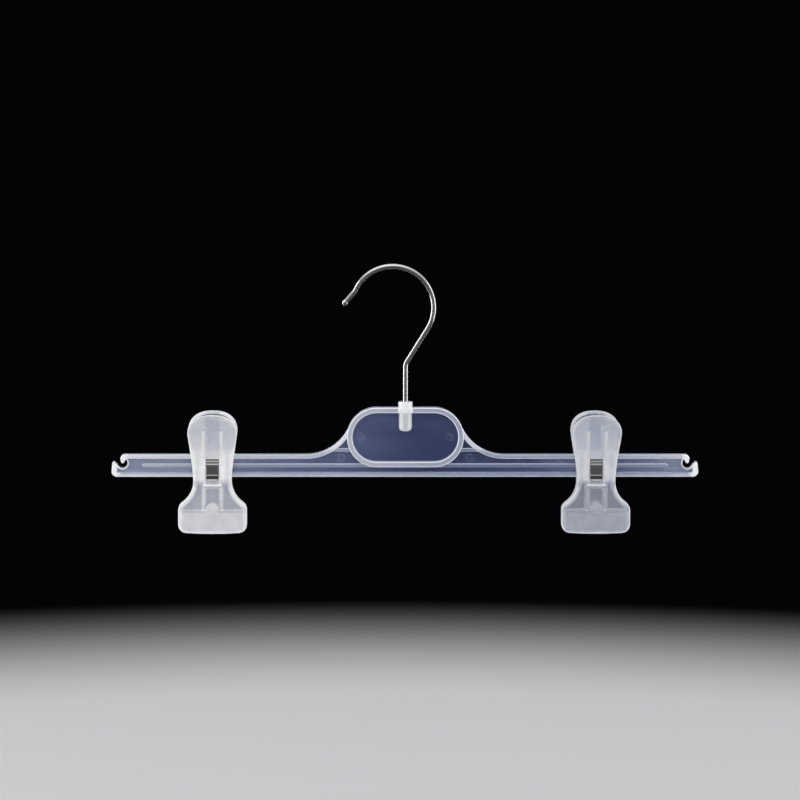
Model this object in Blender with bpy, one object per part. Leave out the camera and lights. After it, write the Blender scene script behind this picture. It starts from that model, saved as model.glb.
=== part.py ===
"""Clear clip hanger: a swivelling wire hook, a moulded beam and two sliding sprung clips.

Metres, +Z up. The origin is where the hook's inner side rests on a rail, straight above the
swivel axis. X runs along the beam, the front faces -Y, and the hanger hangs down from the origin.
"""

import math

import bmesh
import bpy

# Gaps between pieces
SEAT_GAP = 0.0003          # between pieces that touch on the real hanger
BORE_CLEARANCE = 0.0001    # hook shank in its bore, on the radius

# Hook, a bent round wire
WIRE_RADIUS = 0.0017
HOOK_ARC_RADIUS = 0.0244   # wire's centre line round the rail
HOOK_ARC_OFFSET = 0.0077   # arc's centre, left of the swivel axis
HOOK_LEAN = 32.0           # degrees between the sloping run and the vertical
HOOK_BEND_RADIUS = 0.0065  # bend from the shank into the sloping run
HOOK_MOUTH_ANGLE = 157.0   # degrees, where the arc ends and the tip starts
HOOK_TIP_LENGTH = 0.0090
HOOK_TIP_KICK = 18.0       # degrees that the tip turns outward
BALL_RADIUS = 0.00205
SHANK_EXPOSED = 0.0224     # straight shank between the boss and the bend
HEAD_RADIUS = 0.0026       # retaining head inside the boss
HEAD_HEIGHT = 0.0017
HEAD_BEVEL = 0.0003
WIRE_SIDES = 20

# Beam
BEAM_LENGTH = 0.350
BEAM_HEIGHT = 0.0134
FLANGE_THICKNESS = 0.0026
FLANGE_DEPTH = 0.0065
WEB_THICKNESS = 0.0016
RIB_HEIGHT = 0.0024
RIB_DEPTH = 0.0045
RIB_END_INSET = 0.0181     # beam's end to the middle rib's round end
BEAM_CORNER_RADIUS = 0.0033
SHOULDER_RADIUS = 0.0278
SHOULDER_OUTER_STOP = 4.0  # degrees that its outer edge stops short of the ring's joint
SHOULDER_INNER_STOP = 1.0  # and its inner edge

# Loop notch at each end of the beam
NOTCH_RADIUS = 0.00305
NOTCH_INSET = 0.0065       # beam's end to the notch's centre
NOTCH_RISE = 0.0015        # notch's centre above the beam's centre line
NOTCH_RIM = 0.0009
NOTCH_MOUTH = 200.0        # degrees on the notch's circle where its mouth opens
NOTCH_END_RADIUS = 0.00055  # round end of the notch behind the upper lip
NOTCH_END_RISE = 0.00145   # and its height above the notch's centre
LOWER_LIP_WIDTH = 0.0034
LOWER_TIP_RADIUS = 0.0009
LOWER_TIP_INSET = 0.0014   # beam's end to the lower lip's tip
LOWER_TIP_DROP = 0.00015   # tip's centre below the notch's centre
UPPER_TIP_RADIUS = 0.0010
UPPER_TIP_OFFSET = 0.0002  # tip's centre inward of the notch's centre
UPPER_TIP_RISE = 0.0009    # and above it
UPPER_NOSE_RADIUS = 0.0026  # round outer corner above the upper lip
UPPER_NOSE_REACH = 0.0012  # lip's outer side outward of the notch's centre

# Oval ring with its thin panel
RING_HALF_STRAIGHT = 0.0170
RING_INNER_RADIUS = 0.01455
RING_WALL = 0.0033
RING_DEPTH = 0.0080
RING_SINK = 0.0009         # ring's underside below the beam's centre line
BRACE_HEIGHT = 0.0022      # short rib between each shoulder and the ring
BRACE_GAP = 0.0015         # brace's underside above the beam's top
BRACE_DEPTH = 0.0050

# Hook boss, part of the beam's moulding
BOSS_RADIUS = 0.0042
BOSS_RISE = 0.0034         # boss's top above the ring
BOSS_DROP = 0.0110         # boss's bottom below the ring's inner edge
BOSS_ROUNDING = 0.0024
COLLAR_RADIUS = 0.00445
COLLAR_HEIGHT = 0.0052
BOSS_FLOOR = 0.0020        # plastic below the head's pocket

# Ejector marks, shallow round dips in the back of the web
MARK_RADIUS = 0.0020
MARK_DEPTH = 0.0003
PANEL_MARK_STATION = 0.0264
WEB_MARK_STATION = 0.0383
WEB_MARK_RISE = 0.0046     # above the beam's centre line

# Clips
LEFT_CLIP_STATION = 0.1149   # swivel axis to the left clip's middle
RIGHT_CLIP_STATION = 0.1139  # and to the right one's, as they were left

# Jaw, front view. Heights are from the pivot, on the top flange's mid height
HANDLE_RISE = 0.0260
HANDLE_CROWN = 0.0117      # height of the round top
HANDLE_SQUARENESS = 2.3    # exponent of the round top's curve, 2 is an ellipse
HANDLE_HALF_WIDTH = 0.0147
WAIST_HALF_WIDTH = 0.0114
WAIST_DROP = 0.0146
UPPER_TAPER_HANDLE = 0.0016
LOWER_TAPER_HANDLE = 0.0073
FLARE_HOLLOW_RADIUS = 0.0162
FLARE_ROUND_RADIUS = 0.0052
PLATE_HALF_WIDTH = 0.02045
PLATE_HEIGHT = 0.0141
PLATE_CORNER = 0.0050
PLATE_BOW = 0.0005
JAW_DROP = 0.0462          # pivot to the plate's lowest edge

# Jaw, side view
HANDLE_LEAN = 20.5         # degrees that the handle's outer face leans out
RIM_LEAN = 17.5            # degrees that the rim's inner edge leans out
JAW_SKIN = 0.0015
NECK_DEPTH = 0.0019        # plastic over the beam's face at the waist
NECK_INNER = 0.0021        # inner face of the neck from the middle plane
NECK_RUN = 0.0060          # height over which the neck closes in below the beam
PLATE_THICKNESS = 0.0030
KNEE_REACH = 0.0070        # height above and below the pivot that the outer face's bend takes

# Jaw's rim, ribs and window
HANDLE_RIM = 0.0018
FLARE_RIM = 0.0025
CHEEK_RISE = 0.0022        # solid cheeks end above the pivot
CHEEK_DROP = 0.0144        # and below it
RIB_WIDTH = 0.0025
RIB_TOP_RISE = 0.0173      # jaw ribs' upper ends above the pivot
WINDOW_TOP_DROP = 0.0009
WINDOW_BOTTOM_DROP = 0.0119
RECESS_BOTTOM_DROP = 0.0163
RECESS_FLOOR = 0.0012      # plastic left behind the recess under the window
LEDGE_HEIGHT = 0.0012
LEDGE_HALF_WIDTH = 0.0054
LEDGE_PROUD = 0.0005
STRIP_TOP_GAP = 0.0012     # ledge to the hollow between the ribs below it
BUMP_RADIUS = 0.0037
BUMP_PROUD = 0.0006
BUMP_SETBACK = 0.0007      # bump's centre above the plate's top line

# Grip pad
PAD_INSET = 0.0016
PAD_TOP_INSET = 0.0008
PAD_THICKNESS = 0.0012
PAD_RIDGES = 6
PAD_RIDGE_HEIGHT = 0.0003
PAD_RIDGE_FLANK = 0.3      # share of a ridge's pitch that each of its flanks takes

# Spring, a bent steel strip
SPRING_WIDTH = 0.0073
SPRING_THICKNESS = 0.0008
CROWN_BEND = 0.0009        # radius of the crown's bends on the strip's centre line
LEG_EXIT_DROP = 0.0018     # pivot to where the leg bends out through the window
LEG_FLAT_DROP = 0.0062     # pivot to where the leg runs down again
EXIT_BEND_HANDLE = 0.0012  # reach of the curve's handles in the bend between the two
LIP_DROP = 0.0128          # pivot to where the lip starts to curl
LIP_RADIUS = 0.0010
LIP_TURN = 125.0           # degrees of curl

# Levels and places that follow from the sizes above
ARC_CENTRE_Z = -math.sqrt((HOOK_ARC_RADIUS - WIRE_RADIUS) ** 2 - HOOK_ARC_OFFSET ** 2)
LEAN = math.radians(HOOK_LEAN)
SLOPE_TOP_X = HOOK_ARC_RADIUS * math.cos(LEAN) - HOOK_ARC_OFFSET
SLOPE_TOP_Z = ARC_CENTRE_Z - HOOK_ARC_RADIUS * math.sin(LEAN)
BEND_Z = SLOPE_TOP_Z - SLOPE_TOP_X / math.tan(LEAN)
BOSS_TOP_Z = BEND_Z - SHANK_EXPOSED
RING_OUTER_RADIUS = RING_INNER_RADIUS + RING_WALL
RING_Z = BOSS_TOP_Z - BOSS_RISE - RING_OUTER_RADIUS
BOSS_BOTTOM_Z = RING_Z + RING_INNER_RADIUS - BOSS_DROP
BEAM_Z = RING_Z - RING_OUTER_RADIUS + RING_SINK
BEAM_TOP = BEAM_HEIGHT / 2
FLANGE_INNER = BEAM_TOP - FLANGE_THICKNESS
RING_RISE = RING_Z - BEAM_Z
HEAD_BOTTOM_Z = BOSS_BOTTOM_Z + BOSS_FLOOR + SEAT_GAP
FACE = FLANGE_DEPTH / 2
PIVOT_DEPTH = FACE + SEAT_GAP
PIVOT_RISE = BEAM_TOP - FLANGE_THICKNESS / 2
BEAM_BOTTOM_DROP = PIVOT_RISE + BEAM_TOP
LEG_DEPTH = FACE + SEAT_GAP + SPRING_THICKNESS / 2
CHANNEL_DEPTH = LEG_DEPTH + SPRING_THICKNESS / 2 + SEAT_GAP
KNEE_DEPTH = CHANNEL_DEPTH + JAW_SKIN
CHANNEL_HALF_WIDTH = SPRING_WIDTH / 2 + SEAT_GAP
RIB_OUTER = CHANNEL_HALF_WIDTH + RIB_WIDTH
PAD_FACE = SEAT_GAP / 2
PLATE_INNER = PAD_FACE + PAD_THICKNESS + SEAT_GAP
PLATE_OUTER = PLATE_INNER + PLATE_THICKNESS
PLATE_TOP_DROP = JAW_DROP - PLATE_HEIGHT
OVERSHOOT = 0.002          # how far a cutting body runs past what it cuts


def clear_scene():
    for old in list(bpy.data.objects):
        bpy.data.objects.remove(old, do_unlink=True)


def material(name, colour, roughness, metallic=0.0, transmission=0.0):
    """A Principled material in one colour."""
    new = bpy.data.materials.new(name)
    new.use_nodes = True
    shader = new.node_tree.nodes["Principled BSDF"]
    shader.inputs["Base Color"].default_value = (*colour, 1.0)
    shader.inputs["Roughness"].default_value = roughness
    shader.inputs["Metallic"].default_value = metallic
    shader.inputs["Transmission Weight"].default_value = transmission
    return new


# Outlines are lists of (across, height) points

def arc(centre_x, centre_z, radius, start, end, steps):
    """Points on an arc, both ends included, with angles in degrees from +X towards +Z."""
    points = []
    for step in range(steps + 1):
        angle = math.radians(start + (end - start) * step / steps)
        points.append((centre_x + radius * math.cos(angle), centre_z + radius * math.sin(angle)))
    return points


def bezier(start, handle_a, handle_b, end, steps):
    """Points on a cubic curve, both ends included."""
    points = []
    for step in range(steps + 1):
        t = step / steps
        weights = ((1 - t) ** 3, 3 * (1 - t) ** 2 * t, 3 * (1 - t) * t ** 2, t ** 3)
        corners = (start, handle_a, handle_b, end)
        x = sum(weight * corner[0] for weight, corner in zip(weights, corners))
        z = sum(weight * corner[1] for weight, corner in zip(weights, corners))
        points.append((x, z))
    return points


def mirrored(points):
    """The same points on the other side, in the opposite order."""
    return [(-x, z) for x, z in reversed(points)]


def both_sides(points):
    """Close an outline whose left half is given from the bottom's middle to the top's middle."""
    return points + mirrored(points)


def stadium(half_straight, radius, height, steps):
    """An oval with straight long sides and round ends."""
    right = arc(half_straight, height, radius, -90, 90, steps)
    return right + arc(-half_straight, height, radius, 90, 270, steps)


def rectangle(low_x, low_z, high_x, high_z):
    return [(low_x, low_z), (high_x, low_z), (high_x, high_z), (low_x, high_z)]


# Solids

def finish(bm, name):
    """Turn a bmesh into an object with closed, outward faces."""
    bmesh.ops.recalc_face_normals(bm, faces=bm.faces)
    mesh = bpy.data.meshes.new(name)
    bm.to_mesh(mesh)
    bm.free()
    new = bpy.data.objects.new(name, mesh)
    bpy.context.scene.collection.objects.link(new)
    return new


def prism(name, outlines, along, low, high):
    """Extrude outlines from low to high along 'X' or 'Y', as one object."""
    bm = bmesh.new()
    for outline in outlines:
        corners = []
        for across, height in outline:
            point = (low, across, height) if along == 'X' else (across, low, height)
            corners.append(bm.verts.new(point))
        face = bm.faces.new(corners)
        moved = bmesh.ops.extrude_face_region(bm, geom=[face])
        ends = [item for item in moved["geom"] if isinstance(item, bmesh.types.BMVert)]
        reach = (high - low, 0, 0) if along == 'X' else (0, high - low, 0)
        bmesh.ops.translate(bm, verts=ends, vec=reach)
    return finish(bm, name)


def turned(name, profile, sides, x=0.0, y=0.0):
    """A closed body of revolution about a vertical axis from (radius, height) points."""
    bm = bmesh.new()
    rings = []
    for radius, height in profile:
        if radius == 0:
            rings.append([bm.verts.new((x, y, height))])
            continue
        ring = []
        for side in range(sides):
            angle = math.tau * side / sides
            place = (x + radius * math.cos(angle), y + radius * math.sin(angle), height)
            ring.append(bm.verts.new(place))
        rings.append(ring)
    skin_rings(bm, rings)
    return finish(bm, name)


def skin_rings(bm, rings):
    """Faces between neighbouring rings, where an end ring may be a single point."""
    for lower, upper in zip(rings, rings[1:]):
        count = max(len(lower), len(upper))
        for side in range(count):
            after = (side + 1) % count
            if len(lower) == 1:
                bm.faces.new((lower[0], upper[side], upper[after]))
            elif len(upper) == 1:
                bm.faces.new((lower[side], lower[after], upper[0]))
            else:
                bm.faces.new((lower[side], lower[after], upper[after], upper[side]))


def disc(name, x, z, radius, low_y, high_y, sides):
    """A short cylinder along Y."""
    outline = arc(x, z, radius, 0, 360 - 360 / sides, sides - 1)
    return prism(name, [outline], 'Y', low_y, high_y)


def combine(body, tool, operation):
    """Join, cut or intersect body with tool, keep the result in body and remove tool."""
    change = body.modifiers.new(operation.title(), 'BOOLEAN')
    change.operation = operation
    change.solver = 'EXACT'
    change.object = tool
    evaluated = body.evaluated_get(bpy.context.evaluated_depsgraph_get())
    result = bpy.data.meshes.new_from_object(evaluated)
    body.modifiers.remove(change)
    body.data = result
    bpy.data.objects.remove(tool, do_unlink=True)
    return body


def tidy(body):
    """Merge doubled points and dissolve needless edges after cutting."""
    bm = bmesh.new()
    bm.from_mesh(body.data)
    bmesh.ops.remove_doubles(bm, verts=bm.verts, dist=0.000002)
    bmesh.ops.dissolve_limit(bm, angle_limit=math.radians(0.1), verts=bm.verts, edges=bm.edges)
    bmesh.ops.triangulate(bm, faces=bm.faces)
    bmesh.ops.recalc_face_normals(bm, faces=bm.faces)
    bm.to_mesh(body.data)
    bm.free()


def dress(body, name, look, sharp_degrees=35.0):
    """Name a finished body, give it its material and smooth its round sides."""
    body.name = name
    body.data.name = name
    body.data.materials.clear()
    body.data.materials.append(look)
    body.data.shade_smooth()
    body.data.set_sharp_from_angle(angle=math.radians(sharp_degrees))
    return body


def place(body, parent, location, turn=0.0):
    """Put a body at a place in its parent's own axes, turned about Z by degrees."""
    body.parent = parent
    body.location = location
    body.rotation_euler = (0.0, 0.0, math.radians(turn))


# Hook

def hook_route():
    """Centre line of the wire from the shank's foot to the tip's end, in the XZ plane."""
    bend_run = HOOK_BEND_RADIUS * math.tan(LEAN / 2)
    bend_start = BEND_Z - bend_run
    foot = HEAD_BOTTOM_Z + HEAD_HEIGHT
    bend = arc(HOOK_BEND_RADIUS, bend_start, HOOK_BEND_RADIUS, 180, 180 - HOOK_LEAN, 5)
    round_rail = arc(-HOOK_ARC_OFFSET, ARC_CENTRE_Z, HOOK_ARC_RADIUS, -HOOK_LEAN, HOOK_MOUTH_ANGLE, 32)
    heading = math.radians(HOOK_MOUTH_ANGLE + 90 - HOOK_TIP_KICK)
    last_x, last_z = round_rail[-1]
    tip = (last_x + HOOK_TIP_LENGTH * math.cos(heading), last_z + HOOK_TIP_LENGTH * math.sin(heading))
    return [(0.0, foot)] + bend + round_rail + [tip]


def make_hook(look):
    """Sweep the wire and give it a retaining head below and a ball at its tip."""
    route = hook_route()
    stations = []
    head_top = HEAD_BOTTOM_Z + HEAD_HEIGHT
    stations.append((0.0, HEAD_BOTTOM_Z, HEAD_RADIUS - HEAD_BEVEL, math.pi / 2))
    stations.append((0.0, HEAD_BOTTOM_Z + HEAD_BEVEL, HEAD_RADIUS, math.pi / 2))
    stations.append((0.0, head_top - HEAD_BEVEL, HEAD_RADIUS, math.pi / 2))
    stations.append((0.0, head_top, HEAD_RADIUS - HEAD_BEVEL, math.pi / 2))
    stations.append((0.0, head_top, WIRE_RADIUS, math.pi / 2))
    for index in range(1, len(route) - 1):
        before = route[index - 1]
        after = route[index + 1]
        here = route[index]
        arriving = math.atan2(here[1] - before[1], here[0] - before[0])
        leaving = math.atan2(after[1] - here[1], after[0] - here[0])
        turn = math.remainder(leaving - arriving, math.tau)
        stations.append((here[0], here[1], WIRE_RADIUS, arriving + turn / 2))
    tip_x, tip_z = route[-1]
    root_x, root_z = route[-2]
    heading = math.atan2(tip_z - root_z, tip_x - root_x)
    neck = -math.sqrt(BALL_RADIUS ** 2 - WIRE_RADIUS ** 2)
    first_angle = math.acos(-neck / BALL_RADIUS)
    for step in range(7):
        angle = first_angle + (math.pi - first_angle) * step / 7
        along = -BALL_RADIUS * math.cos(angle)
        radius = BALL_RADIUS * math.sin(angle)
        x = tip_x + along * math.cos(heading)
        z = tip_z + along * math.sin(heading)
        stations.append((x, z, radius, heading))

    bm = bmesh.new()
    rings = [[bm.verts.new((0.0, 0.0, HEAD_BOTTOM_Z))]]
    for x, z, radius, heading_here in stations:
        side_x = math.sin(heading_here)
        side_z = -math.cos(heading_here)
        ring = []
        for side in range(WIRE_SIDES):
            angle = math.tau * side / WIRE_SIDES
            out = radius * math.cos(angle)
            depth = radius * math.sin(angle)
            ring.append(bm.verts.new((x + out * side_x, depth, z + out * side_z)))
        rings.append(ring)
    end_x = tip_x + BALL_RADIUS * math.cos(heading)
    end_z = tip_z + BALL_RADIUS * math.sin(heading)
    rings.append([bm.verts.new((end_x, 0.0, end_z))])
    skin_rings(bm, rings)
    return dress(finish(bm, "hook"), "hook", look)


# Beam. Its own heights are from the beam's centre line

def shoulder_centre():
    """Centre of the left shoulder's arc, which touches the beam's top and the ring."""
    height = BEAM_TOP + SHOULDER_RADIUS
    reach = SHOULDER_RADIUS + RING_OUTER_RADIUS
    across = math.sqrt(reach ** 2 - (height - RING_RISE) ** 2)
    return -RING_HALF_STRAIGHT - across, height


def shoulder_top_angle():
    """Degrees on the left shoulder's arc where it meets the ring."""
    centre_x, centre_z = shoulder_centre()
    return math.degrees(math.atan2(RING_RISE - centre_z, -RING_HALF_STRAIGHT - centre_x))


def ring_crown(radius):
    """The left half of the ring from the shoulder's joint to the top's middle."""
    start = 180 + shoulder_top_angle()
    return arc(-RING_HALF_STRAIGHT, RING_RISE, radius, start, 90, 8)


def notch_edge():
    """Left end's edge from the lower lip's tip round the notch to the nose of the upper lip."""
    notch_x = NOTCH_INSET - BEAM_LENGTH / 2
    lower_x = LOWER_TIP_INSET - BEAM_LENGTH / 2
    lower_tip = arc(lower_x, NOTCH_RISE - LOWER_TIP_DROP, LOWER_TIP_RADIUS, 170, 35, 5)
    end_angle = math.asin(NOTCH_END_RISE / NOTCH_RADIUS)
    notch = arc(notch_x, NOTCH_RISE, NOTCH_RADIUS, NOTCH_MOUTH, 360 + math.degrees(end_angle), 17)
    behind_x = notch_x + NOTCH_RADIUS * math.cos(end_angle) - NOTCH_END_RADIUS
    behind = arc(behind_x, NOTCH_RISE + NOTCH_END_RISE, NOTCH_END_RADIUS, 0, 175, 6)
    upper_tip = arc(notch_x + UPPER_TIP_OFFSET, NOTCH_RISE + UPPER_TIP_RISE, UPPER_TIP_RADIUS, 350, 190, 6)
    nose_x = notch_x - UPPER_NOSE_REACH + UPPER_NOSE_RADIUS
    nose = arc(nose_x, BEAM_TOP - UPPER_NOSE_RADIUS, UPPER_NOSE_RADIUS, 178, 90, 6)
    return lower_tip + notch + behind[1:] + upper_tip + nose


def beam_outline():
    """The beam's outer edge, left half, from the bottom round the end and up to the ring's top."""
    corner_x = BEAM_CORNER_RADIUS - BEAM_LENGTH / 2
    corner = arc(corner_x, BEAM_CORNER_RADIUS - BEAM_TOP, BEAM_CORNER_RADIUS, 270, 185, 6)
    centre_x, centre_z = shoulder_centre()
    shoulder = arc(centre_x, centre_z, SHOULDER_RADIUS, -90, shoulder_top_angle() - SHOULDER_OUTER_STOP, 12)
    crown = ring_crown(RING_OUTER_RADIUS - RING_WALL / 3)
    return corner + notch_edge() + shoulder + crown


def pocket_outline():
    """Inner edge of the flanges, left half, which the thin web lies within."""
    end = -BEAM_LENGTH / 2
    notch_x = end + NOTCH_INSET
    rim = NOTCH_RADIUS + NOTCH_RIM
    lip_inner = end + LOWER_LIP_WIDTH
    low_angle = 360 - math.degrees(math.acos((lip_inner - notch_x) / rim))
    high_angle = math.degrees(math.asin((FLANGE_INNER - NOTCH_RISE) / rim))
    round_notch = arc(notch_x, NOTCH_RISE, rim, low_angle, 360 + high_angle, 12)
    centre_x, centre_z = shoulder_centre()
    top_angle = shoulder_top_angle()
    shoulder = arc(centre_x, centre_z, SHOULDER_RADIUS + FLANGE_THICKNESS, -90, top_angle - SHOULDER_INNER_STOP, 12)
    crown = ring_crown(RING_INNER_RADIUS + RING_WALL / 3)
    return [(lip_inner, -FLANGE_INNER)] + round_notch + shoulder + crown


def rib_outline():
    """Middle rib along the beam, round at both ends."""
    return stadium(BEAM_LENGTH / 2 - RIB_END_INSET - RIB_HEIGHT / 2, RIB_HEIGHT / 2, 0.0, 6)


def brace_outline(side):
    """Short rib between a shoulder and the ring."""
    low = BEAM_TOP + BRACE_GAP
    high = low + BRACE_HEIGHT
    middle = (low + high) / 2
    centre_x, centre_z = shoulder_centre()
    radius = SHOULDER_RADIUS + FLANGE_THICKNESS / 2
    outer = -centre_x - math.sqrt(radius ** 2 - (centre_z - middle) ** 2)
    drop = RING_RISE - middle
    inner = RING_HALF_STRAIGHT + math.sqrt((RING_OUTER_RADIUS - RING_WALL / 2) ** 2 - drop ** 2)
    return [(side * x, z) for x, z in rectangle(inner, low, outer, high)]


def boss_profile():
    """Hook boss with its collar, from the bottom up."""
    bottom = BOSS_BOTTOM_Z - BEAM_Z
    top = BOSS_TOP_Z - BEAM_Z
    points = [(0.0, bottom)]
    points += arc(BOSS_RADIUS - BOSS_ROUNDING, bottom + BOSS_ROUNDING, BOSS_ROUNDING, -90, 0, 4)
    collar_low = top - COLLAR_HEIGHT
    points += [(BOSS_RADIUS, collar_low - (COLLAR_RADIUS - BOSS_RADIUS)), (COLLAR_RADIUS, collar_low)]
    points += [(COLLAR_RADIUS, top), (0.0, top)]
    return points


def bore_profile():
    """Stepped bore for the shank and its head, running out past the boss's top."""
    floor = HEAD_BOTTOM_Z - SEAT_GAP - BEAM_Z
    pocket_top = floor + HEAD_HEIGHT + 2 * SEAT_GAP
    top = BOSS_TOP_Z - BEAM_Z + OVERSHOOT
    wide = HEAD_RADIUS + SEAT_GAP
    narrow = WIRE_RADIUS + BORE_CLEARANCE
    return [(0.0, floor), (wide, floor), (wide, pocket_top), (narrow, pocket_top), (narrow, top), (0.0, top)]


def make_beam(look):
    """Web, flanges and notches, then the ring, ribs and boss, all one moulding."""
    body = prism("beam", [both_sides(beam_outline())], 'Y', -FACE, FACE)
    pocket = both_sides(pocket_outline())
    web = WEB_THICKNESS / 2
    combine(body, prism("front_pocket", [pocket], 'Y', -FACE - OVERSHOOT, -web), 'DIFFERENCE')
    combine(body, prism("rear_pocket", [pocket], 'Y', web, FACE + OVERSHOOT), 'DIFFERENCE')
    ring = prism("ring", [stadium(RING_HALF_STRAIGHT, RING_OUTER_RADIUS, RING_RISE, 18)], 'Y',
                 -RING_DEPTH / 2, RING_DEPTH / 2)
    hole = prism("hole", [stadium(RING_HALF_STRAIGHT, RING_INNER_RADIUS, RING_RISE, 18)], 'Y',
                 -RING_DEPTH, RING_DEPTH)
    combine(ring, hole, 'DIFFERENCE')
    combine(body, ring, 'UNION')
    combine(body, prism("rib", [rib_outline()], 'Y', -RIB_DEPTH / 2, RIB_DEPTH / 2), 'UNION')
    braces = [brace_outline(-1), brace_outline(1)]
    combine(body, prism("braces", braces, 'Y', -BRACE_DEPTH / 2, BRACE_DEPTH / 2), 'UNION')
    combine(body, turned("boss", boss_profile(), 24), 'UNION')
    combine(body, turned("bore", bore_profile(), WIRE_SIDES), 'DIFFERENCE')
    marks = ((PANEL_MARK_STATION, RING_RISE), (WEB_MARK_STATION, WEB_MARK_RISE))
    for station, height in marks:
        for side in (-1, 1):
            mark = disc("mark", side * station, height, MARK_RADIUS, web - MARK_DEPTH, web + MARK_DEPTH, 16)
            combine(body, mark, 'DIFFERENCE')
    tidy(body)
    return dress(body, "beam", look)


# Jaws. Their own origin is the pivot, heights are from it, and depth runs out along -Y

def handle_top(half_width, rise, crown, steps):
    """Left half of the round handle top, from its side up to the middle."""
    points = []
    for step in range(steps + 1):
        angle = math.pi / 2 * step / steps
        power = 2 / HANDLE_SQUARENESS
        across = half_width * math.cos(angle) ** power
        up = crown * math.sin(angle) ** power
        points.append((-across, rise - crown + up))
    return points[:-1]


def flare(hollow_radius, round_radius, waist, plate):
    """Left side from the plate up to the waist: a round shoulder, then a hollow curve."""
    reach = hollow_radius + round_radius
    across = waist + hollow_radius - plate + round_radius
    fall = math.sqrt(reach ** 2 - across ** 2)
    turn = math.degrees(math.atan2(fall, across))
    round_centre_z = -WAIST_DROP - fall
    lower = arc(round_radius - plate, round_centre_z, round_radius, 180, 180 - turn, 5)
    upper = arc(-waist - hollow_radius, -WAIST_DROP, hollow_radius, -turn, 0, 7)
    return lower + upper[1:]


def taper(waist, handle):
    """Left side from the waist up to the handle's widest place."""
    top = HANDLE_RISE - HANDLE_CROWN
    start = (-waist, -WAIST_DROP)
    end = (-handle, top)
    first = (-waist, -WAIST_DROP + LOWER_TAPER_HANDLE)
    second = (-handle, top - UPPER_TAPER_HANDLE)
    return bezier(start, first, second, end, 8)


def jaw_outline():
    """Front view of a jaw, closed."""
    corner_z = PLATE_BOW + PLATE_CORNER - JAW_DROP
    # The lower edge bows like a parabola: a third of the way out it has risen by a ninth
    bottom = [(0.0, -JAW_DROP), (-PLATE_HALF_WIDTH / 3, PLATE_BOW / 9 - JAW_DROP)]
    corner = arc(PLATE_CORNER - PLATE_HALF_WIDTH, corner_z, PLATE_CORNER, 265, 180, 5)
    side = flare(FLARE_HOLLOW_RADIUS, FLARE_ROUND_RADIUS, WAIST_HALF_WIDTH, PLATE_HALF_WIDTH)
    waist = taper(WAIST_HALF_WIDTH, HANDLE_HALF_WIDTH)
    top = handle_top(HANDLE_HALF_WIDTH, HANDLE_RISE, HANDLE_CROWN, 12)
    half = bottom + corner + side + waist[1:] + top[1:]
    peak = [(0.0, HANDLE_RISE)]
    return half + peak + mirrored(half[1:])


def outer_profile():
    """Outer face in side view as (depth, height) from the plate's bottom to the handle's top."""
    lean = math.tan(math.radians(HANDLE_LEAN))
    neck = PIVOT_DEPTH + NECK_DEPTH
    fall = (KNEE_DEPTH - neck) / WAIST_DROP
    low = (KNEE_DEPTH - KNEE_REACH * fall, -KNEE_REACH)
    high = (KNEE_DEPTH + KNEE_REACH * lean, KNEE_REACH)
    low_handle = (KNEE_DEPTH - KNEE_REACH * fall / 3, -KNEE_REACH / 3)
    high_handle = (KNEE_DEPTH + KNEE_REACH * lean / 3, KNEE_REACH / 3)
    knee = bezier(low, low_handle, high_handle, high, 6)
    start = [(PLATE_OUTER, -JAW_DROP), (PLATE_OUTER, -PLATE_TOP_DROP)]
    end = [(KNEE_DEPTH + HANDLE_RISE * lean, HANDLE_RISE)]
    return start + [(neck, -WAIST_DROP)] + knee + end


def inner_profile():
    """Inner edge in side view as (depth, height) from the handle's top to the plate's bottom."""
    lean = math.tan(math.radians(RIM_LEAN))
    under_beam = BEAM_BOTTOM_DROP + 2 * SEAT_GAP
    return [
        (PIVOT_DEPTH + HANDLE_RISE * lean, HANDLE_RISE),
        (PIVOT_DEPTH, 0.0),
        (PIVOT_DEPTH, -under_beam),
        (NECK_INNER, -under_beam - NECK_RUN),
        (PLATE_INNER, -PLATE_TOP_DROP),
        (PLATE_INNER, -JAW_DROP),
    ]


def from_pivot(profile):
    """Side view points as (y, z), with depth measured from the pivot and outward along -Y."""
    return [(PIVOT_DEPTH - depth, height) for depth, height in profile]


def side_body(name, profile, half_width):
    """A side view profile extruded across the jaw."""
    return prism(name, [from_pivot(profile)], 'X', -half_width, half_width)


def skin_profile(thickness):
    """Everything inside the outer skin, as a side view profile."""
    shifted = [(depth - thickness, height) for depth, height in outer_profile()]
    foot = (shifted[0][0], -JAW_DROP - OVERSHOOT)
    lean = math.tan(math.radians(HANDLE_LEAN))
    peak = (shifted[-1][0] + OVERSHOOT * lean, HANDLE_RISE + OVERSHOOT)
    return [(-OVERSHOOT, foot[1]), foot] + shifted[1:-1] + [peak, (-OVERSHOOT, peak[1])]


def handle_hollow():
    """Front view of the handle's hollow, which leaves the rim, the two ribs and the cheeks."""
    half_width = HANDLE_HALF_WIDTH - HANDLE_RIM
    rise = HANDLE_RISE - HANDLE_RIM
    crown = HANDLE_CROWN - HANDLE_RIM
    top = handle_top(half_width, rise, crown, 10)
    side = [point for point in taper(WAIST_HALF_WIDTH - HANDLE_RIM, half_width) if point[1] > CHEEK_RISE]
    edge = [(side[0][0], CHEEK_RISE)] + side + top[1:]
    inside = [
        (-CHANNEL_HALF_WIDTH, -(WINDOW_TOP_DROP + WINDOW_BOTTOM_DROP) / 2),
        (-CHANNEL_HALF_WIDTH, RIB_TOP_RISE),
        (-RIB_OUTER, RIB_TOP_RISE),
        (-RIB_OUTER, CHEEK_RISE),
    ]
    half = inside + edge
    return half + [(0.0, rise)] + mirrored(half)


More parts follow.
